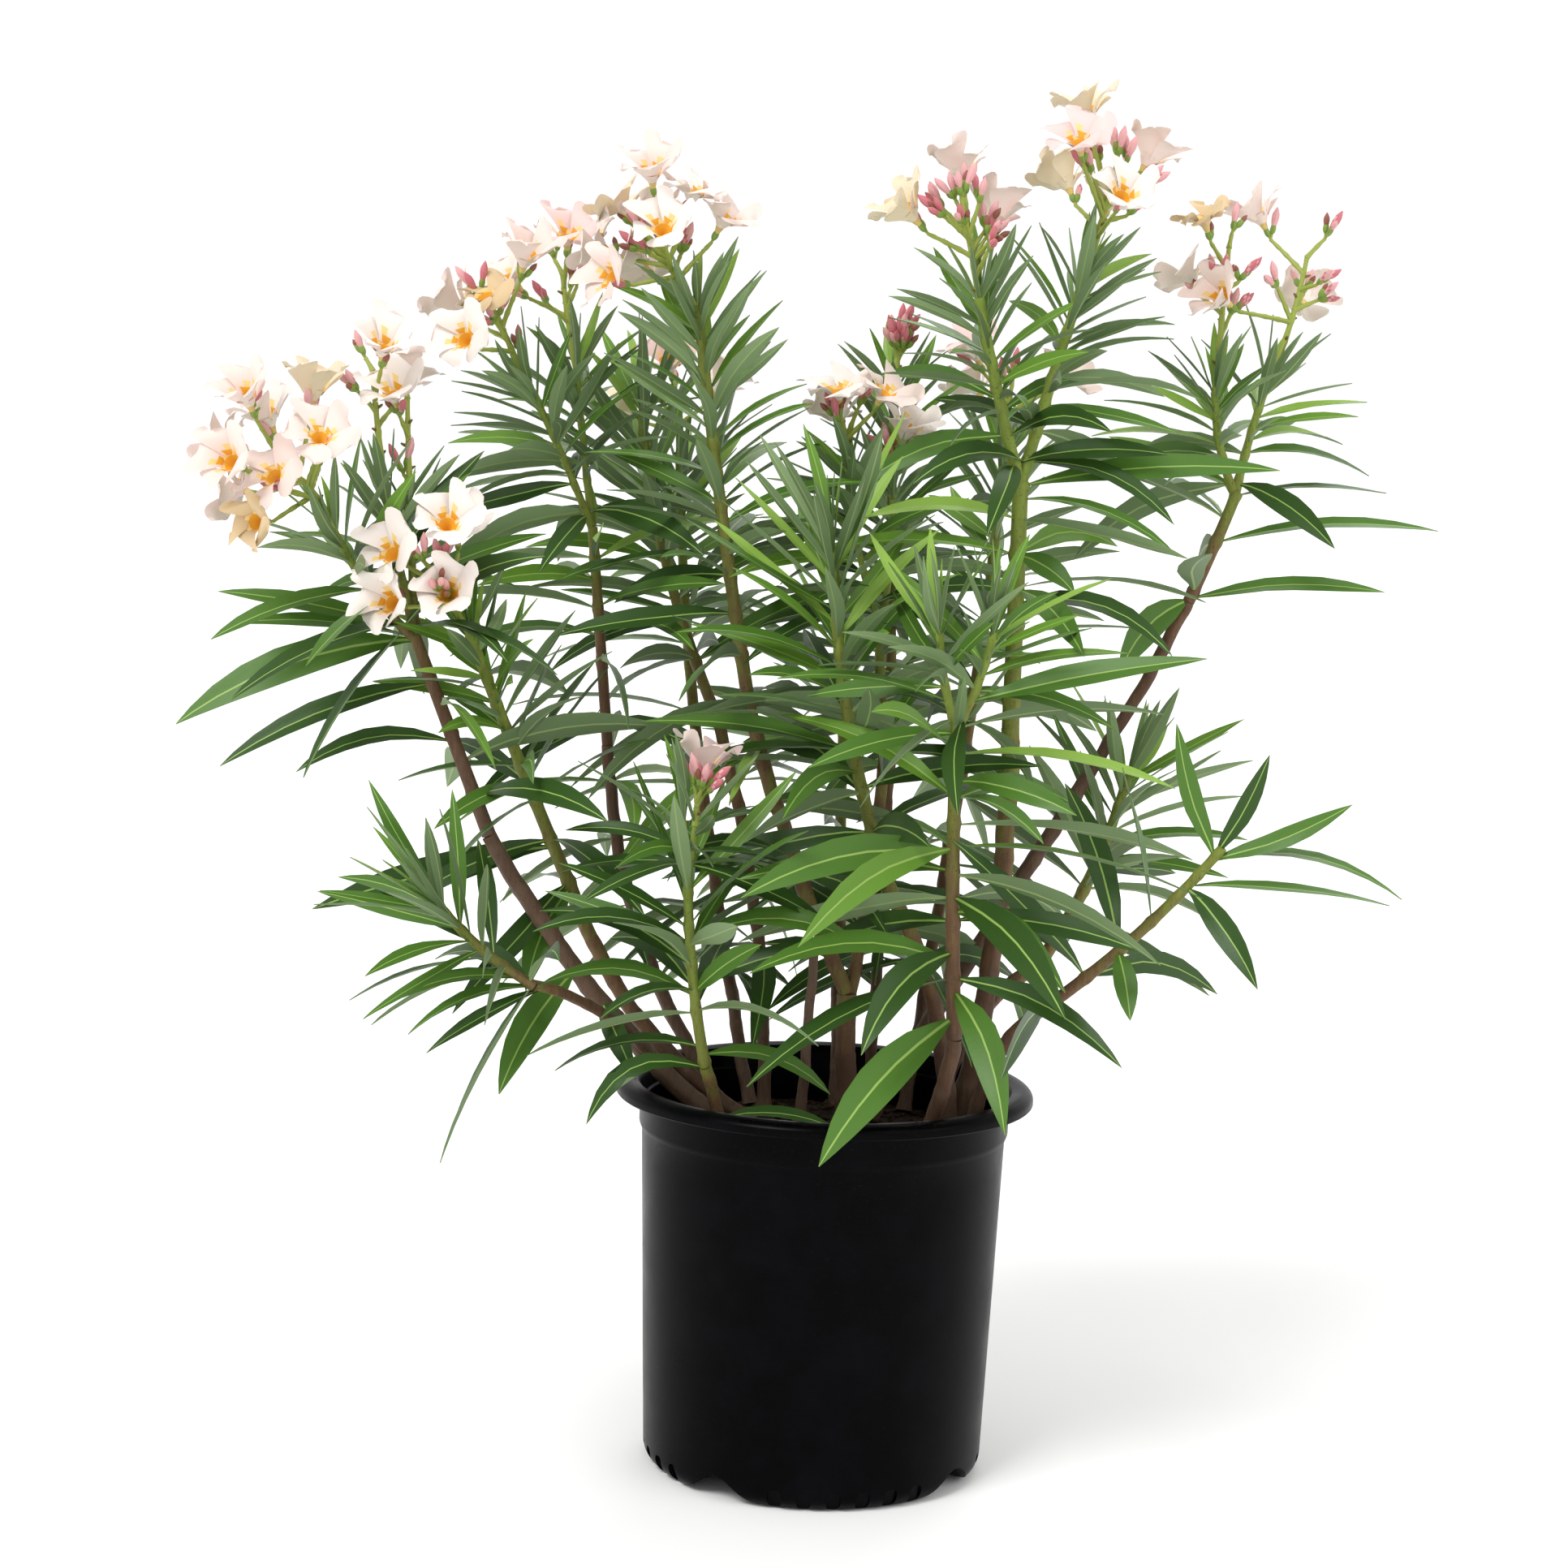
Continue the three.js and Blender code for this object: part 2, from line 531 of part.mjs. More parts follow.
// Whorls of three leaves, closer, shorter and more upright towards the stem's tip.
function leavesOn(run, foliage, seed, phase) {
  const leaves = [];
  let along = foliage.from * run.length;
  for (let node = 0; along <= run.length; node += 1) {
    const t = along / run.length;
    const climb = (t - foliage.from) / (1 - foliage.from);
    const { point, tangent, side, under } = run.at(t);
    for (let i = 0; i < LEAVES_IN_WHORL; i += 1) {
      const keys = [seed, node, i];
      const turn = radians(phase + WHORL_TURN * node + 120 * i + jitter(14, ...keys, 1));
      const pitch = radians(mix(...foliage.pitch, climb) + jitter(9, ...keys, 2));
      const outward = under.clone().multiplyScalar(Math.cos(turn)).addScaledVector(side, Math.sin(turn));
      const direction = tangent.clone().multiplyScalar(Math.cos(pitch))
        .addScaledVector(outward, Math.sin(pitch));
      const face = tangent.clone().multiplyScalar(Math.sin(pitch)).addScaledVector(outward, -Math.cos(pitch));
      face.applyAxisAngle(direction, radians(jitter(LEAF.roll, ...keys, 3)));
      const length = mix(...foliage.leaf, climb) * (1 + jitter(0.12, ...keys, 4));
      const sag = Math.max(0, mix(...foliage.sag, climb) + jitter(0.15, ...keys, 5));
      const root = point.clone().addScaledVector(tangent, jitter(1.5, ...keys, 6))
        .addScaledVector(direction, -LEAF.sunk);
      const width = length * LEAF.width * (1 + jitter(0.12, ...keys, 7));
      leaves.push({ root, direction, face, length, width, sag });
    }
    along += mix(...foliage.gap, climb);
  }
  return leaves;
}

// A flower is a funnel that opens into five petals round a sunken throat.
function flowerSolid({ root, direction }) {
  const points = 2 * FLOWER.petals;
  const reference = Math.abs(direction.z) < 0.9 ? UP : new THREE.Vector3(1, 0, 0);
  const across = reference.clone().cross(direction).normalize();
  const beside = across.clone().cross(direction);
  const cone = new THREE.ConeGeometry(1, 1, points, 1);
  return solid(bend(cone, (vertex) => {
    const reach = Math.hypot(vertex.x, vertex.z);
    const index = Math.round((Math.atan2(vertex.x, vertex.z) / (2 * Math.PI)) * points);
    const isTip = Math.abs(index) % 2 === 0;
    if (vertex.y > 0) return root.clone().addScaledVector(direction, -STALK.joint);
    if (reach < 0.5) return root.clone().addScaledVector(direction, FLOWER.throat);
    const radius = (isTip ? FLOWER.radius : FLOWER.notch) / reach;
    return root.clone()
      .addScaledVector(direction, isTip ? FLOWER.height : FLOWER.notchHeight)
      .addScaledVector(beside, vertex.x * radius)
      .addScaledVector(across, vertex.z * radius);
  }));
}

// A bud is a pointed spindle, drawn in one with its thin stalk.
function budSolid({ foot, root, direction }) {
  const stations = [
    { along: 0, radius: STALK.pedicel },
    { along: foot.distanceTo(root), radius: STALK.pedicel },
    { along: foot.distanceTo(root) + BUD.length * BUD.widest, radius: BUD.radius },
    { along: foot.distanceTo(root) + BUD.length, radius: 0 },
  ];
  const turn = new THREE.Quaternion().setFromUnitVectors(Y_AXIS, direction);
  const cone = new THREE.ConeGeometry(1, 1, TWIG_SIDES, 3);
  const sides = 1 / 3;
  return solid(bend(cone, (vertex) => {
    const level = Math.round((vertex.y + 0.5) / sides);
    const reach = Math.hypot(vertex.x, vertex.z);
    const scale = reach > 0 ? stations[level].radius / reach : 0;
    const placed = new THREE.Vector3(vertex.x * scale, stations[level].along, vertex.z * scale);
    return placed.applyQuaternion(turn).add(foot);
  }));
}

// A spray: stalks fan out from the upper part of the flower stalk, each with a flower or a bud.
function spraySites(stalk, spray, seed) {
  const count = spray.flowers + spray.buds;
  const sites = [];
  for (let i = 0; i < count; i += 1) {
    const { point, tangent, side, under } = stalk.at(1 - (SPRAY_DEPTH * i) / count);
    const turn = radians(GOLDEN_TURN * i + jitter(18, seed, i, 11));
    const open = radians(spray.spread * Math.sqrt((i + 0.5) / count));
    const outward = under.clone().multiplyScalar(Math.cos(turn)).addScaledVector(side, Math.sin(turn));
    const direction = tangent.clone().multiplyScalar(Math.cos(open))
      .addScaledVector(outward, Math.sin(open));
    const isFlower = Math.floor(((i + 1) * spray.flowers) / count)
      > Math.floor((i * spray.flowers) / count);
    const length = spray.reach * (isFlower ? 0.85 : 0.5) * (1 + 0.35 * chance(seed, i, 12));
    const foot = point.clone().addScaledVector(direction, -STALK.sunk);
    const root = foot.clone().addScaledVector(direction, length);
    sites.push({ foot, root, direction, isFlower });
  }
  return sites;
}

function pedicelSolid({ foot, root, direction }) {
  const length = foot.distanceTo(root);
  const tube = new THREE.CylinderGeometry(STALK.pedicel, STALK.pedicel, length, TWIG_SIDES, 1);
  tube.translate(0, length / 2, 0);
  tube.applyQuaternion(new THREE.Quaternion().setFromUnitVectors(Y_AXIS, direction));
  tube.translate(foot.x, foot.y, foot.z);
  return solid(tube);
}

// ---------------------------------------------------------------- heads

function twigSolid(run, radius, sides, footNormal) {
  const steps = Math.max(1, Math.round(run.length / TWIG_STEP));
  return solid(stemGeometry(run, (t) => mix(radius[0], radius[1], t), sides, steps, footNormal));
}

// Lays out one shoot: its stem, its leaves, and its flower stalk with the spray at its tip.
function growShoot(start, shoot, { radius, sides, seed, phase, footNormal }) {
  const run = arc(start, shoot);
  const stems = [twigSolid(run, radius, sides, footNormal)];
  const leaves = leavesOn(run, { ...FOLIAGE, ...shoot.foliage }, seed, phase);
  if (!shoot.stalk) return { run, stems, leaves, sites: [] };
  const stalk = arc(stepBack(run.tip), shoot.stalk);
  stems.push(twigSolid(stalk, [STALK.foot, STALK.tip], TWIG_SIDES));
  return { run, stems, leaves, sites: spraySites(stalk, shoot.spray, seed) };
}

// The place a little below a tip, where what grows on from it is rooted.
function stepBack(tip) {
  return tip.point.clone().addScaledVector(tip.tangent, -STALK.joint);
}

function growHead(head, limbs) {
  const { tip } = limbs.get(head.on).run;
  const start = tip.point.clone().addScaledVector(tip.tangent, CLEARANCE);
  const main = growShoot(start, head, { ...head, sides: STEM_SIDES, footNormal: tip.tangent });
  const shoots = [main];
  for (const [i, fork] of (head.forks ?? []).entries()) {
    shoots.push(growShoot(stepBack(main.run.tip), fork, {
      radius: FORK_TAPER.map((share) => share * head.radius[1]),
      sides: TWIG_SIDES,
      seed: 100 * head.seed + i,
      phase: head.phase + 40 * i,
    }));
  }
  return {
    name: head.name,
    stems: shoots.flatMap((shoot) => shoot.stems),
    leaves: shoots.flatMap((shoot) => shoot.leaves),
    sites: shoots.flatMap((shoot) => shoot.sites),
  };
}

// Remembers what is already in place, so that each head keeps clear of all the others.
class Space {
  constructor() {
    this.pieces = [];
  }

  add(owner, body, kind) {
    this.pieces.push({ owner, kind, body, box: body.boundingBox() });
  }

  isFree(body, ignored) {
    const box = body.boundingBox();
    const near = this.pieces.filter((piece) => !ignored(piece)
      && [0, 1, 2].every((k) => piece.box.min[k] < box.max[k] && box.min[k] < piece.box.max[k]));
    return near.every((piece) => piece.body.intersect(body).isEmpty());
  }
}

// Sets a flower or bud with its own stalk where there is room for both.
function growSite(head, site, space) {
  const own = (...kinds) => (piece) => piece.owner === head.name && kinds.includes(piece.kind);
  const bloom = site.isFlower ? flowerSolid(site) : budSolid(site);
  const stalks = site.isFlower ? [pedicelSolid(site)] : [];
  if (!space.isFree(bloom, own('stem'))) return [];
  if (!stalks.every((stalk) => space.isFree(stalk, own('stem', 'pedicel')))) return [];
  space.add(head.name, bloom, 'bloom');
  for (const stalk of stalks) space.add(head.name, stalk, 'pedicel');
  return [bloom, ...stalks];
}

// A leaf keeps clear of every other head and limb, and its blade of its own head's leaves.
function growLeaf(head, leaf, space) {
  if (!space.isFree(leafSolid(leaf, CLEARANCE), (piece) => piece.owner === head.name)) return [];
  if (!space.isFree(leafSolid(leaf, CLEARANCE, LEAF.neck), () => false)) return [];
  const body = leafSolid(leaf);
  space.add(head.name, body, 'leaf');
  return [body];
}

// ---------------------------------------------------------------- the whole plant

const plant = new THREE.Group();
const space = new Space();
const potBody = buildPot();
const soilBody = buildSoil();
space.add('pot', potBody, 'pot');
space.add('soil', soilBody, 'soil');
plant.add(meshOf('pot', potBody, FINISH.pot), meshOf('soil', soilBody, FINISH.soil));

const limbs = placeLimbs();
for (const limb of limbs.values()) {
  const body = buildLimb(limb, limbs);
  space.add(limb.name, body, 'limb');
  plant.add(meshOf(limb.name, body, FINISH.wood));
}

const heads = HEADS.map((head) => growHead(head, limbs));
for (const head of heads) {
  for (const stem of head.stems) space.add(head.name, stem, 'stem');
}
for (const head of heads) {
  head.blooms = head.sites.flatMap((site) => growSite(head, site, space));
}
for (const head of heads) {
  const blades = head.leaves.flatMap((leaf) => growLeaf(head, leaf, space));
  const body = wasm.Manifold.union([...head.stems, ...head.blooms, ...blades]);
  plant.add(meshOf(head.name, body, FINISH.foliage));
}

export default plant;
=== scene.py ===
import json
import logging
import math
from collections.abc import Iterable, Iterator, Mapping, Sequence
from dataclasses import dataclass, field, replace
from enum import Enum

import bpy
import numpy as np
from mathutils import Matrix, Vector
from mathutils.bvhtree import BVHTree
from mathutils.kdtree import KDTree

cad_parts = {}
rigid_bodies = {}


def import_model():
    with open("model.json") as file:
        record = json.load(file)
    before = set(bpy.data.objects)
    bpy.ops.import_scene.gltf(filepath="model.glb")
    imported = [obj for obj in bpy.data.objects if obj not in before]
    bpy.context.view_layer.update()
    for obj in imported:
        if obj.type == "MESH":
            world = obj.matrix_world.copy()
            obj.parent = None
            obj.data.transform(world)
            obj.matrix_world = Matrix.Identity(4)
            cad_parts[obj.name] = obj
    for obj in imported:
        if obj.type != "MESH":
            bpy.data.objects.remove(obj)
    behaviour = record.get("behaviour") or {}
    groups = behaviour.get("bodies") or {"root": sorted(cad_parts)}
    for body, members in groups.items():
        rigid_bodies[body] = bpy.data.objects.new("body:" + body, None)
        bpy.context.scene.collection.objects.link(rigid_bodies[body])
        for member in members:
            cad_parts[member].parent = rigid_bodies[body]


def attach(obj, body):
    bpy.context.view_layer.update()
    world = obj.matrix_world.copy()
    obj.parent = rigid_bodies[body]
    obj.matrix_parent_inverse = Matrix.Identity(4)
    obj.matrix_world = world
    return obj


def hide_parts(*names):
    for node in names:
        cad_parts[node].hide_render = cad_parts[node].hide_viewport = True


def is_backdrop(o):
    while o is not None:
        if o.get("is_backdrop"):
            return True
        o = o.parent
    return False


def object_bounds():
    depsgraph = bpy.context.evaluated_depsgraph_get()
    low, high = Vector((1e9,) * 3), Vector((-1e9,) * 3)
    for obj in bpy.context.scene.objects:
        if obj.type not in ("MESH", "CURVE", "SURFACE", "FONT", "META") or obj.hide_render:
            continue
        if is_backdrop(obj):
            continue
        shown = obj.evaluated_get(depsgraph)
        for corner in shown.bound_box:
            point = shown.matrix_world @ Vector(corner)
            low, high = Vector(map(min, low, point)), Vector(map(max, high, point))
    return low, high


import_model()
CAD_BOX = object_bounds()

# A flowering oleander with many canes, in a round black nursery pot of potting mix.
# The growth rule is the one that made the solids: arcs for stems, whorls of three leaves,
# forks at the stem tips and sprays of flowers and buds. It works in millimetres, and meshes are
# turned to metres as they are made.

LOG = logging.getLogger("oleander")
MM = 0.001
UP = Vector((0.0, 0.0, 1.0))
# The way that most flowers turn, as the light comes from the plant's front.
SUNWARD = Vector((0.0, -1.0, 0.0))

Pair = tuple[float, float]
Keys = tuple[int, ...]
Tree = bpy.types.NodeTree
Node = bpy.types.Node
Socket = bpy.types.NodeSocket
Material = bpy.types.Material
Piece = bpy.types.Object


# ---------------------------------------------------------------- chance and growth data


def chance(*keys: int) -> float:
    """A number from 0 to 1 that depends only on the whole numbers given.

    Args:
        keys: whole numbers that name one choice.

    Returns:
        The number.
    """
    mask = 0xFFFFFFFF
    value = 2166136261
    for key in keys:
        value = ((value ^ key) & mask) * 16777619 & mask
        value ^= value >> 13
    value = (value ^ (value >> 15)) * 2246822507 & mask
    return (value ^ (value >> 13)) / 4294967296


def jitter(size: float, *keys: int) -> float:
    """A number from -size to size that depends only on the whole numbers given."""
    return size * (2 * chance(*keys) - 1)


def mix(first: float, last: float, share: float) -> float:
    """The number that lies a share of the way from first to last."""
    return first + (last - first) * share


def swell(distance: float, reach: float) -> float:
    """A hump of height 1 that fades with distance, and has mostly gone at reach."""
    return math.exp(-((distance / reach) ** 2))


def level(turn: float) -> Vector:
    """The level direction at a turn about +Z from +X, in radians."""
    return Vector((math.cos(turn), math.sin(turn), 0.0))


@dataclass(frozen=True)
class Bend:
    """How a stretch of stem leans: its heading about +Z, its lean at foot and tip, its length."""

    heading: float
    lean: Pair
    length: float


@dataclass(frozen=True)
class Station:
    """One place on a stem, with the directions there."""

    point: Vector
    tangent: Vector
    side: Vector
    under: Vector

    def outward(self, turn: float) -> Vector:
        """The direction square to the stem at a turn about it, in radians."""
        return self.under * math.cos(turn) + self.side * math.sin(turn)


@dataclass(frozen=True)
class Arc:
    """A stretch of stem as an arc in one upright plane."""

    start: Vector
    bend: Bend

    @property
    def length(self) -> float:
        """The arc's length in millimetres."""
        return self.bend.length

    def at(self, t: float) -> Station:
        """The place a share of the way along.

        Args:
            t: the share, 0 at the foot and 1 at the tip.

        Returns:
            The station there.
        """
        way = math.radians(self.bend.heading)
        first, last = (math.radians(a) for a in self.bend.lean)
        out = level(way)
        side = Vector((-math.sin(way), math.cos(way), 0.0))
        turn = last - first
        angle = first + turn * t
        if turn == 0:
            sideways = self.length * t * math.sin(first)
            upwards = self.length * t * math.cos(first)
        else:
            sideways = self.length / turn * (math.cos(first) - math.cos(angle))
            upwards = self.length / turn * (math.sin(angle) - math.sin(first))
        tangent = out * math.sin(angle) + UP * math.cos(angle)
        point = self.start + out * sideways + UP * upwards
        return Station(point, tangent, side, side.cross(tangent))


@dataclass(frozen=True)
class Leafing:
    """A run of leaves up a stem, from its lowest whorl to its highest."""

    start: float = 0.12
    gap: Pair = (34, 14)
    leaf: Pair = (145, 95)
    pitch: Pair = (86, 34)
    sag: Pair = (0.75, 0.1)

    def climb(self, t: float) -> float:
        """How far up the leafy stretch a share of the stem's length lies."""
        return (t - self.start) / (1 - self.start)


@dataclass(frozen=True)
class Spray:
    """The flowers and buds at the end of a flower stalk."""

    flowers: int
    buds: int
    reach: float
    spread: float


@dataclass(frozen=True)
class Limb:
    """A woody cane that stands on the soil, or a bough that leaves another limb."""

    name: str
    bend: Bend
    radius: Pair
    foot: Pair | None = None
    parent: str = ""
    along: float = 0.0


@dataclass(frozen=True)
class Shoot:
    """A leafy stem, with its flower stalk and spray if it has one."""

    bend: Bend
    leafing: Leafing
    stalk: Bend | None = None
    spray: Spray | None = None


@dataclass(frozen=True)
class Head:
    """The leafy, flowering head that grows on from a limb's tip."""

    name: str
    on: str
    seed: int
    phase: float
    radius: Pair
    shoot: Shoot
    forks: tuple[Shoot, ...] = ()


@dataclass(frozen=True)
class OwnLeaf:
    """A leaf with an aim of its own: the stem it grows on, its heading, lean and shape."""

    stem: str
    along: float
    heading: float
    lean: float
    length: float
    broad: float
    sag: float
    tilt: float = 35.0


CLEARANCE = 0.3
SOIL_TOP = 225.0
FORK_TAPER = (0.8, 0.6)
GOLDEN_TURN = 137.5
SPRAY_DEPTH = 0.6
STALK_RADIUS = (2.4, 1.6)
PEDICEL_RADIUS = 1.1
STALK_JOINT = 3.0
STALK_SUNK = 0.6
LEAF_WIDTH = 0.14
LEAF_SUNK = 1.5
LEAF_ROLL = 60.0

LIMBS: tuple[Limb, ...] = (
    Limb("cane_left", Bend(189, (49, 30), 255), (8, 5), foot=(-68, 0)),
    Limb("cane_front_left", Bend(229, (6, 30), 60), (4.6, 4), foot=(-66, -58)),
    Limb("cane_low_left", Bend(177, (60, 20), 203), (6.5, 4.8), foot=(-48, 20)),
    Limb("cane_tall_left", Bend(168, (37, 4), 269), (7, 4), foot=(-68, 55)),
    Limb("cane_snag", Bend(301, (11, 1), 138), (4.2, 3), foot=(-18, -28)),
    Limb("cane_centre", Bend(180, (0, 2), 95), (8, 6.6), foot=(14, 0)),
    Limb("cane_inner_right", Bend(201, (1, 32), 179), (7, 4.8), foot=(84, 18)),
    Limb("cane_front_right", Bend(304, (30, 12), 90), (6, 5), foot=(64, -58)),
    Limb("cane_tall_right", Bend(3, (12, -2), 276), (8, 6.2), foot=(92, 38)),
    Limb("cane_far_right", Bend(26, (34, 35), 286), (7, 5), foot=(30, 42)),
    Limb("cane_back_low_right", Bend(22, (6, 62), 132), (6, 5), foot=(80, 64)),
    Limb("cane_low_right", Bend(318, (4, 52), 112), (5.5, 4.4), foot=(98, -16)),
    Limb("cane_inner_left", Bend(145, (0, 22), 277), (6, 4.2), foot=(-42, 62)),
    Limb("cane_inner_back", Bend(60, (0, 5), 260), (5.5, 4), foot=(32, 86)),
    Limb("cane_back_left", Bend(122, (24, 18), 235), (6, 4.4), foot=(-52, 78)),
    Limb("cane_back_right", Bend(66, (20, 18), 255), (6, 4.4), foot=(56, 76)),
    Limb("cane_back", Bend(92, (28, 34), 160), (6, 4.6), foot=(8, 76)),
    Limb("bough_low_left", Bend(225, (42, 76), 130), (4.2, 3.4), parent="cane_left", along=0.24),
    Limb("bough_centre", Bend(164, (27, 17), 200), (6, 4.8), parent="cane_centre", along=1),
    Limb("bough_middle", Bend(60, (22, 4), 170), (5, 4), parent="cane_centre", along=0.9),
    Limb("bough_far_right", Bend(9, (31, 25), 140), (4.9, 4.4), parent="cane_far_right", along=1),
)

HEADS: tuple[Head, ...] = (
    Head("head_left", "cane_left", 11, 20, (4.9, 4),
         Shoot(Bend(180, (22, 22), 140),
               Leafing(start=0.2, gap=(44, 34), leaf=(158, 158), pitch=(84, 76), sag=(0.9, 0.7))), (
             Shoot(Bend(200, (50, 26), 92), Leafing(gap=(24, 15), leaf=(138, 105)),
                   stalk=Bend(190, (20, 60), 58),
                   spray=Spray(8, 1, 42, 86)),
             Shoot(Bend(152, (19, 13), 90), Leafing(gap=(26, 15), leaf=(132, 95)),
                   stalk=Bend(160, (12, 6), 92),
                   spray=Spray(2, 1, 26, 60)),
             Shoot(Bend(112, (22, 8), 80), Leafing(gap=(28, 16), leaf=(130, 95)),
                   stalk=Bend(120, (10, 6), 84),
                   spray=Spray(1, 1, 22, 50)))),
    Head("head_front_left", "cane_front_left", 12, 35, (3.8, 3),
         Shoot(Bend(226, (16, 2), 135), Leafing(start=0.02, gap=(36, 16), leaf=(140, 100))), (
             Shoot(Bend(300, (24, 4), 34), Leafing(gap=(20, 14), leaf=(95, 70)),
                   stalk=Bend(300, (6, 4), 16),
                   spray=Spray(1, 1, 20, 50)),
             Shoot(Bend(170, (10, 0), 32), Leafing(gap=(18, 14), leaf=(95, 70))))),
    Head("head_low_left", "cane_low_left", 13, 14, (4.7, 3.4),
         Shoot(Bend(222, (28, 26), 200), Leafing(start=0.04, gap=(34, 14), leaf=(142, 92)),
               stalk=Bend(230, (40, 34), 50),
               spray=Spray(4, 2, 32, 62))),
    Head("head_tall_left", "cane_tall_left", 14, 47, (3.9, 3.5),
         Shoot(Bend(163, (6, 6), 150),
               Leafing(start=0.1, gap=(42, 28), leaf=(125, 138), pitch=(88, 72), sag=(0.9, 0.4))), (
             Shoot(Bend(203, (23, 30), 104), Leafing(gap=(22, 13), leaf=(125, 88)),
                   stalk=Bend(203, (30, 24), 60),
                   spray=Spray(3, 1, 34, 70)),
             Shoot(Bend(130, (14, 12), 116), Leafing(gap=(22, 13), leaf=(125, 88)),
                   stalk=Bend(160, (14, 8), 66),
                   spray=Spray(2, 2, 30, 60)))),
    Head("head_ground_left", "bough_low_left", 15, 10, (3.3, 2.8),
         Shoot(Bend(204, (60, 40), 85),
               Leafing(start=0.02, gap=(22, 14), leaf=(120, 90), pitch=(72, 26), sag=(0.8, 0.1)))),
    Head("head_centre", "bough_centre", 16, 25, (4.7, 3.4),
         Shoot(Bend(174, (11, 8), 272), Leafing(start=0.03, gap=(30, 12), leaf=(145, 98)),
               stalk=Bend(188, (40, 28), 46),
               spray=Spray(8, 3, 40, 78))),
    Head("head_inner_right", "cane_inner_right", 17, 5, (4.7, 3.2),
         Shoot(Bend(222, (26, 4), 235), Leafing(start=0.02, gap=(34, 12), leaf=(148, 95)))),
    Head("head_front_right", "cane_front_right", 18, 15, (4.9, 3.8),
         Shoot(Bend(241, (8, 1), 205),
               Leafing(start=0.03, gap=(36, 28), leaf=(158, 150), pitch=(98, 72), sag=(0.7, 0.4))), (
             Shoot(Bend(200, (22, 4), 62), Leafing(gap=(20, 12), leaf=(112, 76))),
             Shoot(Bend(345, (28, 10), 66), Leafing(gap=(20, 12), leaf=(112, 76))))),
    Head("head_tall_right", "cane_tall_right", 19, 40, (6, 5.2),
         Shoot(Bend(263, (3, 4), 166),
               Leafing(start=0.12, gap=(50, 42), leaf=(130, 158), pitch=(90, 80), sag=(0.8, 0.3))), (
             Shoot(Bend(207, (20, 14), 128), Leafing(gap=(19, 12), leaf=(122, 90)),
                   stalk=Bend(190, (14, 10), 48),
                   spray=Spray(3, 5, 38, 62)),
             Shoot(Bend(14, (14, 17), 146), Leafing(gap=(20, 12), leaf=(125, 90)),
                   stalk=Bend(20, (16, 12), 62),
                   spray=Spray(5, 3, 40, 68)))),
    Head("head_far_right", "bough_far_right", 20, 10, (4.3, 4),
         Shoot(Bend(12, (24, 20), 84),
               Leafing(start=0.1, gap=(38, 34), leaf=(158, 158), pitch=(84, 80), sag=(0.3, 0.3))), (
             Shoot(Bend(180, (26, 2), 74), Leafing(gap=(19, 12), leaf=(118, 88)),
                   stalk=Bend(60, (4, 8), 104),
                   spray=Spray(2, 2, 30, 60)),
             Shoot(Bend(23, (10, 20), 80), Leafing(gap=(20, 12), leaf=(118, 88)),
                   stalk=Bend(10, (22, 8), 96),
                   spray=Spray(3, 2, 40, 100)))),
    Head("head_back_low_right", "cane_back_low_right", 21, 0, (4.8, 3.2),
         Shoot(Bend(26, (38, 14), 150), Leafing(start=0.03, gap=(30, 14), leaf=(132, 90)))),
    Head("head_low_right", "cane_low_right", 22, 30, (4.2, 3),
         Shoot(Bend(336, (52, 38), 170),
               Leafing(start=0.04, gap=(36, 15), leaf=(148, 98), pitch=(82, 32), sag=(0.7, 0.1)))),
    Head("head_inner_left", "cane_inner_left", 23, 20, (4.1, 3),
         Shoot(Bend(154, (28, 8), 220), Leafing(start=0.03, gap=(34, 14), leaf=(130, 92)))),
    Head("head_inner_back", "cane_inner_back", 24, 45, (3.9, 3),
         Shoot(Bend(160, (4, 0), 250), Leafing(start=0.03, gap=(38, 17), leaf=(128, 88)),
               stalk=Bend(30, (4, 6), 26),
               spray=Spray(0, 3, 16, 40))),
    Head("head_middle", "bough_middle", 31, 10, (3.9, 3.2),
         Shoot(Bend(130, (10, 2), 95),
               Leafing(start=0.05, gap=(34, 26), leaf=(125, 125), pitch=(84, 70), sag=(0.7, 0.4))), (
             Shoot(Bend(190, (24, 4), 104), Leafing(gap=(21, 13), leaf=(108, 84)),
                   stalk=Bend(190, (10, 6), 30),
                   spray=Spray(2, 1, 30, 70)),
             Shoot(Bend(20, (12, -6), 88), Leafing(gap=(21, 13), leaf=(108, 84)),
                   stalk=Bend(200, (6, 4), 26),
                   spray=Spray(1, 1, 16, 30)))),
    Head("head_back_left", "cane_back_left", 26, 15, (4.3, 3),
         Shoot(Bend(122, (18, 6), 230), Leafing(start=0.03, gap=(40, 18), leaf=(148, 98)),
               stalk=Bend(122, (8, 6), 40),
               spray=Spray(3, 1, 36, 70))),
    Head("head_back_right", "cane_back_right", 27, 55, (4.3, 3),
         Shoot(Bend(60, (16, 6), 225), Leafing(start=0.03, gap=(40, 18), leaf=(148, 98)),
               stalk=Bend(60, (8, 6), 40),
               spray=Spray(3, 1, 36, 70))),
    Head("head_back", "cane_back", 28, 5, (4.5, 3),
         Shoot(Bend(92, (34, 12), 200), Leafing(start=0.02, gap=(36, 16), leaf=(150, 98)))),
)

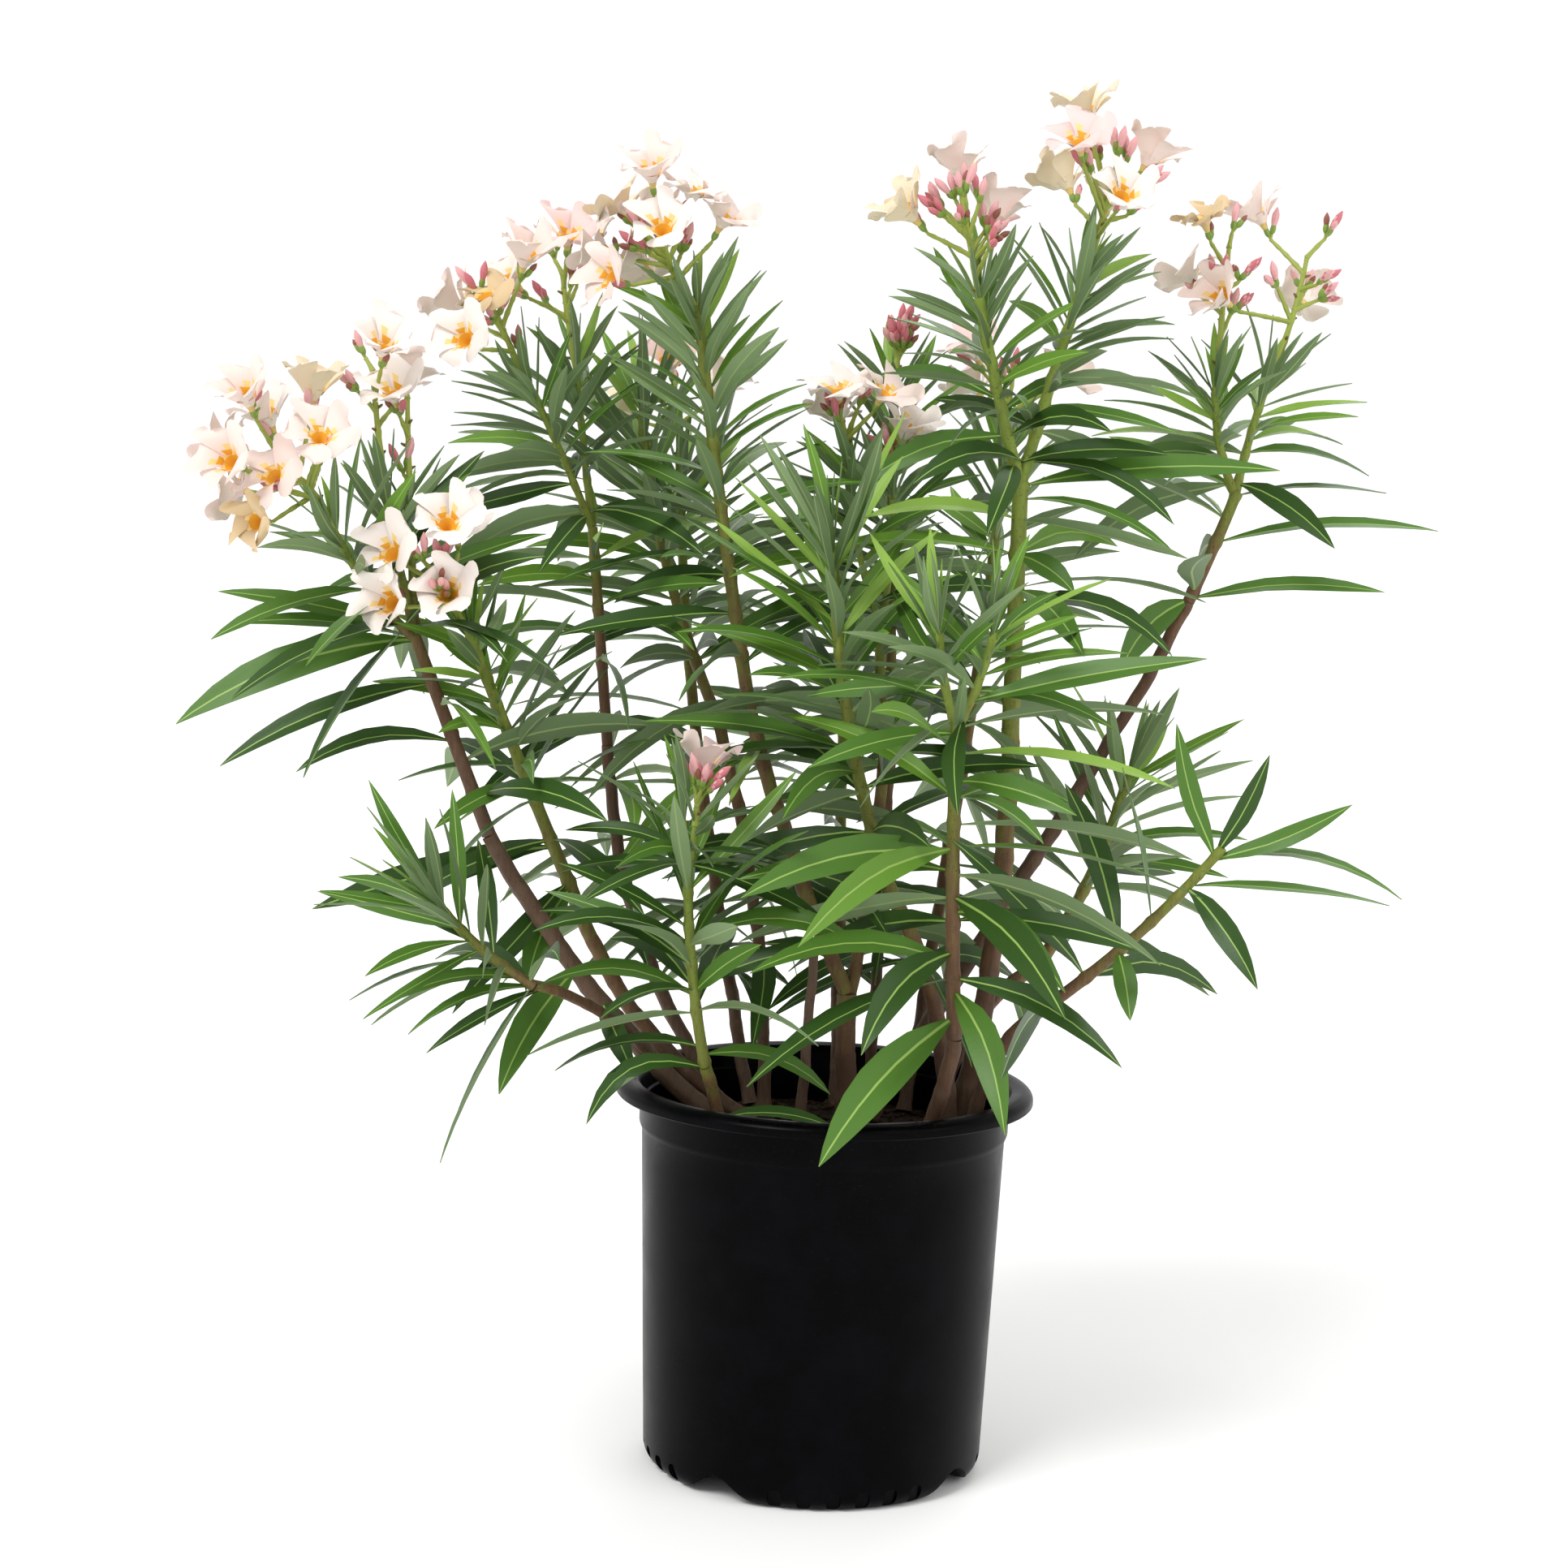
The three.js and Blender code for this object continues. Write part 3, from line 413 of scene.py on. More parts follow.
# The long and the broad leaves that give the plant its outline. A stem of a fork is named with
# the fork's number, and the lean is measured from upright.
OWN_LEAVES: tuple[OwnLeaf, ...] = (
    OwnLeaf("head_left", 0.98, 188, 92, 176, 0.17, 0.8, 60),
    OwnLeaf("head_left", 0.76, 192, 98, 154, 0.13, 0.6, 45),
    OwnLeaf("head_left", 0.47, 195, 80, 114, 0.14, 0.8, 40),
    OwnLeaf("head_left/0", 0.12, 185, 70, 126, 0.13, 0.35, 40),
    OwnLeaf("head_left/0", 0.05, 190, 82, 120, 0.12, 0.2, 25),
    OwnLeaf("head_low_left", 0.18, 192, 92, 172, 0.15, 0.5, 62),
    OwnLeaf("head_ground_left", 0.1, 195, 78, 94, 0.16, 0.8),
    OwnLeaf("bough_low_left", 0.98, 196, 84, 96, 0.15, 0.8),
    OwnLeaf("bough_low_left", 0.92, 206, 104, 92, 0.14, 0.5),
    OwnLeaf("cane_left", 0.58, 236, 116, 112, 0.24, 1.2, 60),
    OwnLeaf("cane_left", 0.48, 302, 112, 74, 0.24, 1.0, 60),
    OwnLeaf("head_low_left", 0.02, 246, 118, 92, 0.25, 1.6, 70),
    OwnLeaf("cane_front_left", 0.98, 204, 74, 112, 0.14, 1.9, 40),
    OwnLeaf("cane_front_left", 0.32, 350, 62, 88, 0.17, 0.9, 20),
    OwnLeaf("head_front_left", 0.38, 318, 48, 72, 0.24, 0.3, 50),
    OwnLeaf("head_front_left", 0.36, 186, 60, 116, 0.19, 0.9, 25),
    OwnLeaf("head_front_left", 0.62, 190, 58, 116, 0.16, 0.9, 20),
    OwnLeaf("head_front_left", 0.64, 348, 60, 128, 0.16, 0.9, 25),
    OwnLeaf("head_front_left", 0.06, 20, 84, 104, 0.17, 1.0, 30),
    OwnLeaf("head_front_left", 0.1, 168, 80, 112, 0.15, 0.9, 30),
    OwnLeaf("head_front_right", 0.6, 200, 86, 150, 0.18, 0.55, 55),
    OwnLeaf("head_front_right", 0.25, 190, 70, 150, 0.16, 0.7, 40),
    OwnLeaf("head_front_right", 0.28, 235, 92, 126, 0.2, 1.3, 55),
    OwnLeaf("head_front_right", 0.07, 228, 110, 152, 0.2, 0.6, 60),
    OwnLeaf("head_front_right", 0.16, 292, 110, 124, 0.2, 1.4, 60),
    OwnLeaf("head_front_right", 0.41, 315, 78, 124, 0.2, 1.5, 55),
    OwnLeaf("head_front_right", 0.38, 346, 72, 136, 0.15, 0.8, 35),
    OwnLeaf("head_front_right", 0.82, 325, 78, 98, 0.2, 0.7, 40),
    OwnLeaf("head_front_right", 0.97, 210, 84, 114, 0.17, 0.6, 40),
    OwnLeaf("head_front_right/0", 0.3, 190, 72, 114, 0.13, 0.4, 20),
    OwnLeaf("head_front_right/1", 0.3, 350, 74, 152, 0.14, 0.1, 45),
    OwnLeaf("head_inner_right", 0.42, 186, 78, 142, 0.13, 0.2, 30),
    OwnLeaf("head_tall_right", 0.98, 357, 74, 176, 0.12, 0.35, 45),
    OwnLeaf("head_tall_right", 0.93, 338, 84, 126, 0.1, 0.9, 30),
    OwnLeaf("head_tall_right", 0.7, 318, 84, 64, 0.3, 1.4, 55),
    OwnLeaf("head_tall_right", 0.5, 344, 70, 136, 0.15, 1.4, 40),
    OwnLeaf("head_far_right", 0.97, 350, 78, 106, 0.1, 0.3, 30),
    OwnLeaf("head_far_right", 0.55, 355, 76, 156, 0.11, 0.3, 30),
    OwnLeaf("head_far_right", 0.04, 354, 80, 136, 0.12, 0.2, 40),
    OwnLeaf("head_far_right", 0.02, 216, 118, 92, 0.26, 1.5, 70),
    OwnLeaf("head_low_right", 0.95, 200, 20, 92, 0.17, 0.0, 60),
    OwnLeaf("head_low_right", 0.96, 330, 26, 76, 0.19, 0.0, 60),
    OwnLeaf("head_low_right", 0.93, 345, 64, 98, 0.15, 0.0, 50),
    OwnLeaf("head_low_right", 0.94, 352, 74, 134, 0.1, 0.9, 25),
    OwnLeaf("head_low_right", 0.8, 351, 82, 130, 0.1, 0.35, 30),
    OwnLeaf("head_low_right", 0.79, 308, 108, 94, 0.2, 1.3, 60),
    OwnLeaf("head_low_right", 0.42, 282, 126, 54, 0.32, 1.0, 60),
)

# How woody the bark is at each limb's tip, from 0 for green to 1 for brown.
TIP_WOOD: dict[str, float] = {
    "cane_front_left": 0.32,
    "cane_front_right": 0.72,
    "cane_low_right": 0.66,
    "cane_tall_right": 0.34,
    "cane_inner_right": 0.4,
    "cane_far_right": 0.86,
    "bough_far_right": 0.7,
    "cane_left": 0.95,
    "cane_low_left": 0.42,
    "cane_tall_left": 0.8,
    "cane_snag": 1.0,
}
USUAL_TIP_WOOD = 0.52


# ---------------------------------------------------------------- colours and finishes


def linear(colour: str) -> tuple[float, float, float, float]:
    """Turns an sRGB hex colour to linear light.

    Args:
        colour: the colour as #rrggbb.

    Returns:
        Red, green, blue and an alpha of 1.
    """
    parts = [int(colour[i : i + 2], 16) / 255 for i in (1, 3, 5)]
    light = [p / 12.92 if p <= 0.04045 else ((p + 0.055) / 1.055) ** 2.4 for p in parts]
    return (light[0], light[1], light[2], 1.0)


def per_mm(size: float) -> float:
    """The noise scale whose features are about size millimetres across, in metre coordinates."""
    return 1.0 / (size * MM)


def add_node(tree: Tree, kind: str, inputs: Mapping[str | int, object] | None = None) -> Node:
    """Adds a node with its settings and links.

    Args:
        tree: the node tree.
        kind: the node's type name, without ShaderNode.
        inputs: by input name or number, or by the node's own property: a value, a socket to link
            from, or a node whose first output it links from. A colour ramp's places and colours
            are its "stops".

    Returns:
        The new node.
    """
    node = tree.nodes.new("ShaderNode" + kind)
    for name, value in (inputs or {}).items():
        if isinstance(value, Node):
            value = value.outputs[0]
        if name == "stops":
            ramp = node.color_ramp.elements
            while len(ramp) < len(value):
                ramp.new(1.0)
            for element, (place, colour) in zip(ramp, value):
                element.position = place
                element.color = linear(colour)
        elif isinstance(value, Socket):
            tree.links.new(value, node.inputs[name])
        elif isinstance(name, int) or name in node.inputs:
            node.inputs[name].default_value = value
        else:
            setattr(node, name, value)
    return node


@dataclass(frozen=True)
class Finish:
    """A finish of the plant, pot or studio: each kind says what its shader is made of."""

    name: str

    def shader(self, tree: Tree, place: Socket) -> Node:
        """Adds the finish's own nodes.

        Args:
            tree: the material's node tree.
            place: the object coordinates.

        Returns:
            The shader node.
        """
        raise NotImplementedError

    def material(self) -> Material:
        """Makes the material.

        Returns:
            The material.
        """
        material = bpy.data.materials.new(self.name)
        material.use_nodes = True
        tree = material.node_tree
        tree.nodes.clear()
        place = add_node(tree, "TexCoord").outputs["Object"]
        add_node(tree, "OutputMaterial", {"Surface": self.shader(tree, place)})
        return material


@dataclass(frozen=True)
class MouldedPolythene(Finish):
    """Injection-moulded black polythene: satin, faintly pebbled, dusty where water has dried."""

    name: str = "moulded_black_polythene"
    colour: str = "#010102"
    bloom: str = "#06070a"
    dust: str = "#171412"
    pebble_mm: float = 1.6
    speck_mm: float = 2.2
    streak_mm: float = 34.0

    def shader(self, tree: Tree, place: Socket) -> Node:
        """Adds the polythene's nodes.

        Args:
            tree: the material's node tree.
            place: the object coordinates.

        Returns:
            The shader node.
        """
        # Handling leaves the plastic with broad, soft patches that are greyer and less glossy.
        patches = add_node(tree, "TexNoise", {
            "Vector": place, "Scale": per_mm(self.streak_mm), "Detail": 5.0, "Roughness": 0.6})
        bloom = add_node(tree, "ValToRGB", {
            "Fac": patches, "stops": ((0.42, self.colour), (0.8, self.bloom))})
        # Specks of dried potting mix, thickest at the lip and in the mouth.
        specks = add_node(tree, "TexNoise", {
            "Vector": place, "Scale": per_mm(self.speck_mm), "Detail": 3.0, "Roughness": 0.7})
        height = add_node(tree, "SeparateXYZ", {"Vector": place})
        low = add_node(tree, "MapRange", {
            "Value": height.outputs["Z"], "From Min": 0.05, "From Max": 0.26, "To Min": 0.70,
            "To Max": 0.60})
        over = add_node(tree, "Math", {"operation": "SUBTRACT", 0: specks, 1: low})
        dusty = add_node(tree, "Math", {
            "operation": "MULTIPLY", "use_clamp": True, 0: over, 1: 7.0})
        colour = add_node(tree, "Mix", {
            "data_type": "RGBA", 0: dusty, 6: bloom, 7: linear(self.dust)})
        rough = add_node(tree, "MapRange", {
            "Value": patches, "From Min": 0.3, "From Max": 0.8, "To Min": 0.26, "To Max": 0.4})
        pebble = add_node(tree, "TexNoise", {
            "Vector": place, "Scale": per_mm(self.pebble_mm), "Detail": 2.0})
        relief = add_node(tree, "Bump", {
            "Height": pebble, "Strength": 0.12, "Distance": 0.3 * MM})
        return add_node(tree, "BsdfPrincipled", {
            "Base Color": colour.outputs[2], "Roughness": rough, "Normal": relief,
            "Metallic": 0.0, "IOR": 1.5, "Specular IOR Level": 0.045})


@dataclass(frozen=True)
class PottingMix(Finish):
    """Moist bark and peat potting mix: dark crumbs with paler fibres and chips."""

    name: str = "bark_potting_mix"
    dark: str = "#140d09"
    middle: str = "#2a1d14"
    pale: str = "#55402d"
    crumb_mm: float = 4.0

    def shader(self, tree: Tree, place: Socket) -> Node:
        """Adds the mix's nodes.

        Args:
            tree: the material's node tree.
            place: the object coordinates.

        Returns:
            The shader node.
        """
        crumbs = add_node(tree, "TexNoise", {
            "Vector": place, "Scale": per_mm(self.crumb_mm), "Detail": 6.0, "Roughness": 0.7})
        colour = add_node(tree, "ValToRGB", {
            "Fac": crumbs, "stops": ((0.35, self.dark), (0.55, self.middle), (0.78, self.pale))})
        relief = add_node(tree, "Bump", {"Height": crumbs, "Strength": 0.8, "Distance": 1.5 * MM})
        return add_node(tree, "BsdfPrincipled", {
            "Base Color": colour, "Normal": relief, "Roughness": 0.93, "Specular IOR Level": 0.2})


@dataclass(frozen=True)
class Bark(Finish):
    """Oleander bark: smooth green skin at the tips that turns olive, then grey-brown and fissured.

    The mesh's wood attribute says how far it has turned, from 0 at a green tip to 1 at a foot.
    """

    name: str = "oleander_bark"
    tones: tuple[tuple[float, str], ...] = (
        (0.05, "#83963d"), (0.34, "#70752f"), (0.56, "#6f5236"), (0.78, "#583d2c"),
        (1.0, "#66503f"),
    )
    stain: str = "#43302a"
    streak_mm: float = 3.2
    lenticel_mm: float = 1.8

    def shader(self, tree: Tree, place: Socket) -> Node:
        """Adds the bark's nodes.

        Args:
            tree: the material's node tree.
            place: the object coordinates.

        Returns:
            The shader node.
        """
        wood = add_node(tree, "Attribute", {"attribute_name": "wood"}).outputs["Fac"]
        # Streaks run up the cane, so the coordinates are squeezed along +Z.
        squeezed = add_node(tree, "Mapping", {"Vector": place, "Scale": (1.0, 1.0, 0.16)})
        streaks = add_node(tree, "TexNoise", {
            "Vector": squeezed, "Scale": per_mm(self.streak_mm), "Detail": 5.0, "Roughness": 0.65})
        shift = add_node(tree, "MapRange", {
            "Value": streaks, "From Min": 0.3, "From Max": 0.7, "To Min": -0.13, "To Max": 0.13})
        age = add_node(tree, "Math", {"operation": "ADD", 0: wood, 1: shift})
        skin = add_node(tree, "ValToRGB", {"Fac": age, "stops": self.tones})
        specks = add_node(tree, "TexNoise", {
            "Vector": place, "Scale": per_mm(self.lenticel_mm), "Detail": 2.0})
        spotted = add_node(tree, "MapRange", {
            "Value": specks, "From Min": 0.6, "From Max": 0.72, "To Min": 0.0, "To Max": 0.55})
        colour = add_node(tree, "Mix", {
            "data_type": "RGBA", 0: spotted, 6: skin, 7: linear(self.stain)})
        relief = add_node(tree, "Bump", {"Height": streaks, "Strength": 0.5, "Distance": 0.6 * MM})
        return add_node(tree, "BsdfPrincipled", {
            "Base Color": colour.outputs[2], "Normal": relief, "Roughness": 0.62,
            "Specular IOR Level": 0.35})


@dataclass(frozen=True)
class Cuticle(Finish):
    """A plant skin in one plain tone: a thin wax over cells, with a fine relief of veins.

    Tones are dealt out leaf by leaf and petal by petal, so each has one base colour.
    """

    colour: str
    roughness: float = 0.5
    gloss: float = 0.3
    relief_mm: float = 2.4
    relief: float = 0.25
    sheen: float = 0.0

    def shader(self, tree: Tree, place: Socket) -> Node:
        """Adds the skin's nodes.

        Args:
            tree: the material's node tree.
            place: the object coordinates.

        Returns:
            The shader node.
        """
        veins = add_node(tree, "TexNoise", {
            "Vector": place, "Scale": per_mm(self.relief_mm), "Detail": 2.0})
        relief = add_node(tree, "Bump", {
            "Height": veins, "Strength": self.relief, "Distance": 0.4 * MM})
        return add_node(tree, "BsdfPrincipled", {
            "Base Color": linear(self.colour), "Roughness": self.roughness,
            "Specular IOR Level": self.gloss, "Sheen Weight": self.sheen, "Normal": relief})


@dataclass(frozen=True)
class StudioPaper(Finish):
    """Matt pale studio paper, with the faintest tooth."""

    name: str = "studio_paper"
    colour: str = "#fbfbfa"

    def shader(self, tree: Tree, place: Socket) -> Node:
        """Adds the paper's nodes.

        Args:
            tree: the material's node tree.
            place: the object coordinates.

        Returns:
            The shader node.
        """
        tooth = add_node(tree, "TexNoise", {"Vector": place, "Scale": per_mm(5.0)})
        relief = add_node(tree, "Bump", {"Height": tooth, "Strength": 0.02, "Distance": 0.2 * MM})
        return add_node(tree, "BsdfPrincipled", {
            "Base Color": linear(self.colour), "Roughness": 0.9, "Specular IOR Level": 0.1,
            "Normal": relief})


# ---------------------------------------------------------------- making meshes


def deselect_all() -> None:
    """Leaves nothing selected, so that an operator acts only on what comes next."""
    for item in list(bpy.context.selected_objects):
        item.select_set(False)
    bpy.context.view_layer.objects.active = None


def take_up(piece: Piece) -> None:
    """Makes one object the only selected one and the active one.

    Args:
        piece: the object.
    """
    deselect_all()
    piece.select_set(True)
    bpy.context.view_layer.objects.active = piece


def shade(piece: Piece, angle: float) -> None:
    """Shades an object smooth across edges under an angle in degrees."""
    take_up(piece)
    bpy.ops.object.shade_smooth_by_angle(angle=math.radians(angle))


def smooth(piece: Piece, angle: float) -> None:
    """Turns every face outwards and shades smooth.

    Args:
        piece: the object, made of closed shells.
        angle: edges sharper than this many degrees stay sharp.
    """
    take_up(piece)
    bpy.ops.object.mode_set(mode="EDIT")
    bpy.ops.mesh.select_all(action="SELECT")
    bpy.ops.mesh.normals_make_consistent(inside=False)
    bpy.ops.object.mode_set(mode="OBJECT")
    shade(piece, angle)
    deselect_all()


def settle(piece: Piece, replaced: Sequence[str] = ()) -> None:
    """Puts a finished piece on the part's body and reports it.

    Args:
        piece: the finished object.
        replaced: the solids that the piece stands for.
    """
    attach(piece, "root")
    if replaced:
        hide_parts(*replaced)
    LOG.info("%s: %d faces", piece.name, len(piece.data.polygons))


class MeshBag:
    """Gathers many small closed lofts, in millimetres, into one mesh."""

    def __init__(self, name: str, materials: Sequence[Material] = ()) -> None:
        """Starts an empty bag.

        Args:
            name: the object's name.
            materials: its materials, in the order of their numbers.
        """
        self.name = name
        self.materials = list(materials)
        self.points: list[np.ndarray] = []
        self.faces: list[list[int]] = []
        self.tones: list[int] = []
        self.wood: list[float] = []
        self.count = 0

    def loft(
        self, rings: np.ndarray, tones: np.ndarray | int = 0, wood: Sequence[float] | float = 0.0
    ) -> None:
        """Adds one closed shell through a run of rings, with a cap at each end.

        Args:
            rings: points as rings by points round by 3, in millimetres.
            tones: a material number, or one for each side, or one for each step and side.
            wood: the wood attribute, one number or one for each ring.
        """
        steps, sides = rings.shape[0] - 1, rings.shape[1]
        painted = np.broadcast_to(np.asarray(tones), (steps, sides))
        index = self.count + np.arange((steps + 1) * sides).reshape(steps + 1, sides)
        turned = np.roll(index, -1, axis=1)
        quads = np.stack([index[:-1], turned[:-1], turned[1:], index[1:]], axis=-1)
        self.faces += [*quads.reshape(-1, 4).tolist(), index[0, ::-1].tolist(), index[-1].tolist()]
        self.tones += [*painted.reshape(-1).tolist(), int(painted[0, 0]), int(painted[-1, 0])]
        self.points.append(rings.reshape(-1, 3))
        along = np.broadcast_to(np.asarray(wood, dtype=float).reshape(-1, 1), (steps + 1, sides))
        self.wood += along.reshape(-1).tolist()
        self.count += (steps + 1) * sides

    def finish(self, angle: float) -> Piece:
        """Makes the object, with its faces outwards and shaded smooth.

        Args:
            angle: edges sharper than this many degrees stay sharp.

        Returns:
            The object, at the origin.
        """
        mesh = bpy.data.meshes.new(self.name)
        points = np.concatenate(self.points) * MM
        mesh.from_pydata(points.tolist(), [], self.faces)
        for material in self.materials:
            mesh.materials.append(material)
        mesh.polygons.foreach_set("material_index", np.array(self.tones, dtype=np.int32))
        mesh.attributes.new("wood", "FLOAT", "POINT").data.foreach_set("value", self.wood)
        mesh.update()
        piece = bpy.data.objects.new(self.name, mesh)
        bpy.context.scene.collection.objects.link(piece)
        smooth(piece, angle)
        return piece


def ring_angles(sides: int) -> np.ndarray:
    """The angles of the points round a ring, in radians."""
    return np.arange(sides) * (math.tau / sides)


def round_ring(station: Station, radii: np.ndarray) -> np.ndarray:
    """A ring of points square to a stem.

    Args:
        station: the place on the stem.
        radii: the radius at each point, in millimetres.

    Returns:
        The points, one row each.
    """
    angles = ring_angles(len(radii))
    side, under = np.array(station.side), np.array(station.under)
    way = np.cos(angles)[:, None] * side + np.sin(angles)[:, None] * under
    return np.array(station.point) + way * radii[:, None]


def turned_frame(direction: Vector) -> tuple[Vector, Vector]:
    """Two directions square to a third, as the solids' flowers have them.

    Args:
        direction: a unit vector.

    Returns:
        The direction across, and the one beside it.
    """
    reference = UP if abs(direction.z) < 0.9 else Vector((1.0, 0.0, 0.0))
    across = reference.cross(direction).normalized()
    return across, across.cross(direction)


# ---------------------------------------------------------------- how the plant grows


@dataclass(frozen=True)
class Blade:
    """Where one leaf grows: its root, the ways it points and faces, and its sizes."""

    root: Vector
    direction: Vector
    face: Vector
    length: float
    width: float
    sag: float
    keys: Keys
    climb: float

    def midrib(self, t: float) -> Vector:
        """The place on the midrib a share of the way along.

        Args:
            t: the share, from 0 at the root to 1 at the tip.

        Returns:
            The point.
        """
        drooped = (self.direction - UP * self.sag).normalized()
        elbow = self.root + self.direction * (self.length / 2)
        tip = elbow + drooped * (self.length / 2)
        return self.root.lerp(elbow, t).lerp(elbow.lerp(tip, t), t)

    def turned(self, axis: Vector, angle: float) -> "Blade":
        """The same leaf turned about its root.

        Args:
            axis: what it turns about.
            angle: the angle in degrees.

        Returns:
            The turned leaf.
        """
        turn = Matrix.Rotation(math.radians(angle), 3, axis)
        return replace(self, direction=turn @ self.direction, face=turn @ self.face)


@dataclass(frozen=True)
class Site:
    """Where one flower or bud stands: its foot on the stalk, its root, and the way it faces."""

    foot: Vector
    root: Vector
    direction: Vector
    is_flower: bool


@dataclass
class GrownShoot:
    """One leafy stem in place, with its leaves, flower stalk and sites."""

    run: Arc
    radius: Pair
    wood: Pair
    seed: int
    phase: float
    shoot: Shoot
    head: str
    blades: list[Blade] = field(default_factory=list)
    stalk: Arc | None = None
    sites: list[Site] = field(default_factory=list)


def whorl_places(run: Arc, leafing: Leafing) -> list[float]:
    """Where the whorls stand up a stem.

    Args:
        run: the stem.
        leafing: its run of leaves.

    Returns:
        Shares of the stem's length, from the lowest.
    """
    places, along = [], leafing.start * run.length
    while along <= run.length:
        t = along / run.length
        places.append(t)
        along += mix(*leafing.gap, leafing.climb(t))
    return places


def grow_blade(run: Arc, leafing: Leafing, t: float, turn: float, keys: Keys) -> Blade:
    """Lays out one leaf of a whorl.

    Args:
        run: the stem.
        leafing: its run of leaves.
        t: the share of the stem's length at which the leaf stands.
        turn: its turn about the stem, in degrees.
        keys: the whole numbers that name the leaf.

    Returns:
        The leaf.
    """
    climb = leafing.climb(t)
    station = run.at(t)
    outward = station.outward(math.radians(turn + jitter(14, *keys, 1)))
    pitch = math.radians(mix(*leafing.pitch, climb) + jitter(9, *keys, 2))
    direction = station.tangent * math.cos(pitch) + outward * math.sin(pitch)
    face = station.tangent * math.sin(pitch) - outward * math.cos(pitch)
    face = Matrix.Rotation(math.radians(jitter(LEAF_ROLL, *keys, 3)), 3, direction) @ face
    length = mix(*leafing.leaf, climb) * (1 + jitter(0.12, *keys, 4))
    sag = max(0.0, mix(*leafing.sag, climb) + jitter(0.15, *keys, 5))
    root = station.point + station.tangent * jitter(1.5, *keys, 6) - direction * LEAF_SUNK
    width = length * LEAF_WIDTH * (1 + jitter(0.12, *keys, 7))
    return Blade(root, direction, face, length, width, sag, keys, climb)


def grow_whorls(
    run: Arc, leafing: Leafing, places: Iterable[tuple[int, float]], seed: int, phase: float
) -> list[Blade]:
    """Lays out whorls of three leaves up a stem.

    Args:
        run: the stem.
        leafing: its run of leaves.
        places: each whorl's number, and the share of the stem's length at which it stands.
        seed: the first key of the leaves.
        phase: the turn of the first leaf, in degrees.

    Returns:
        The leaves, from the lowest.
    """
    return [
        grow_blade(run, leafing, t, phase + 60 * node + 120 * i, (seed, node, i))
        for node, t in places for i in range(3)
    ]


def spray_sites(stalk: Arc, spray: Spray, seed: int) -> list[Site]:
    """Lays out the flowers and buds that fan out from the upper part of a stalk.

    Args:
        stalk: the flower stalk.
        spray: what it carries.
        seed: the shoot's seed.

    Returns:
        The sites, from the stalk's tip down.
    """
    count = spray.flowers + spray.buds
    sites = []
    for i in range(count):
        station = stalk.at(1 - SPRAY_DEPTH * i / count)
        turn = math.radians(GOLDEN_TURN * i + jitter(18, seed, i, 11))
        spread = math.radians(spray.spread * math.sqrt((i + 0.5) / count))
        direction = station.tangent * math.cos(spread) + station.outward(turn) * math.sin(spread)
        is_flower = (i + 1) * spray.flowers // count > i * spray.flowers // count
        reach = spray.reach * (0.85 if is_flower else 0.5) * (1 + 0.35 * chance(seed, i, 12))
        foot = station.point - direction * STALK_SUNK
        sites.append(Site(foot, foot + direction * reach, direction, is_flower))
    return sites


def step_back(run: Arc) -> Vector:
    """The place a little below a stem's tip, where what grows on from it is rooted."""
    tip = run.at(1)
    return tip.point - tip.tangent * STALK_JOINT


@dataclass
class Plant:
    """The whole plant laid out as arcs, leaves and flower sites, before any mesh is made."""

    limbs: tuple[Limb, ...] = LIMBS
    heads: tuple[Head, ...] = HEADS
    runs: dict[str, Arc] = field(default_factory=dict)
    shoots: list[GrownShoot] = field(default_factory=list)

    def grow(self) -> None:
        """Places every limb, then every head's stems, leaves and sites."""
        for limb in self.limbs:
            if limb.parent:
                start = self.runs[limb.parent].at(limb.along).point
            else:
                start = Vector((*limb.foot, SOIL_TOP + CLEARANCE))
            self.runs[limb.name] = Arc(start, limb.bend)
        for head in self.heads:
            self.grow_head(head)

    def grow_head(self, head: Head) -> None:
        """Lays out a head's main stem and its forks.

        Args:
            head: the head.
        """
        tip = self.runs[head.on].at(1)
        wood = TIP_WOOD.get(head.on, USUAL_TIP_WOOD)
        top = wood * (0.55 if wood > 0.9 else 0.35)
        foot = tip.point + tip.tangent * CLEARANCE
        main = self.grow_shoot(foot, head, head.shoot, head.radius, (wood, top), head.seed, 0)
        radius = (FORK_TAPER[0] * head.radius[1], FORK_TAPER[1] * head.radius[1])
        for i, fork in enumerate(head.forks):
            seed = 100 * head.seed + i
            self.grow_shoot(step_back(main), head, fork, radius, (top, 0.0), seed, 40 * i)

    def grow_shoot(
        self, foot: Vector, head: Head, shoot: Shoot, radius: Pair, wood: Pair, seed: int, turn: float
    ) -> Arc:
        """Lays out one stem with its leaves, flower stalk and sites.

        Args:
            foot: where it starts.
            head: the head that it belongs to.
            shoot: what grows there.
            radius: the stem's radius at foot and tip.
            wood: how woody it is at foot and tip.
            seed: the stem's seed.
            turn: degrees added to the head's phase.

        Returns:
            The stem.
        """
        run, phase = Arc(foot, shoot.bend), head.phase + turn
        grown = GrownShoot(run, radius, wood, seed, phase, shoot, head.name)
        places = enumerate(whorl_places(run, shoot.leafing))
        grown.blades = grow_whorls(run, shoot.leafing, places, seed, phase)
        if shoot.stalk:
            grown.stalk = Arc(step_back(run), shoot.stalk)
            grown.sites = spray_sites(grown.stalk, shoot.spray, seed)
        self.shoots.append(grown)
        return run


# ---------------------------------------------------------------- pot and potting mix


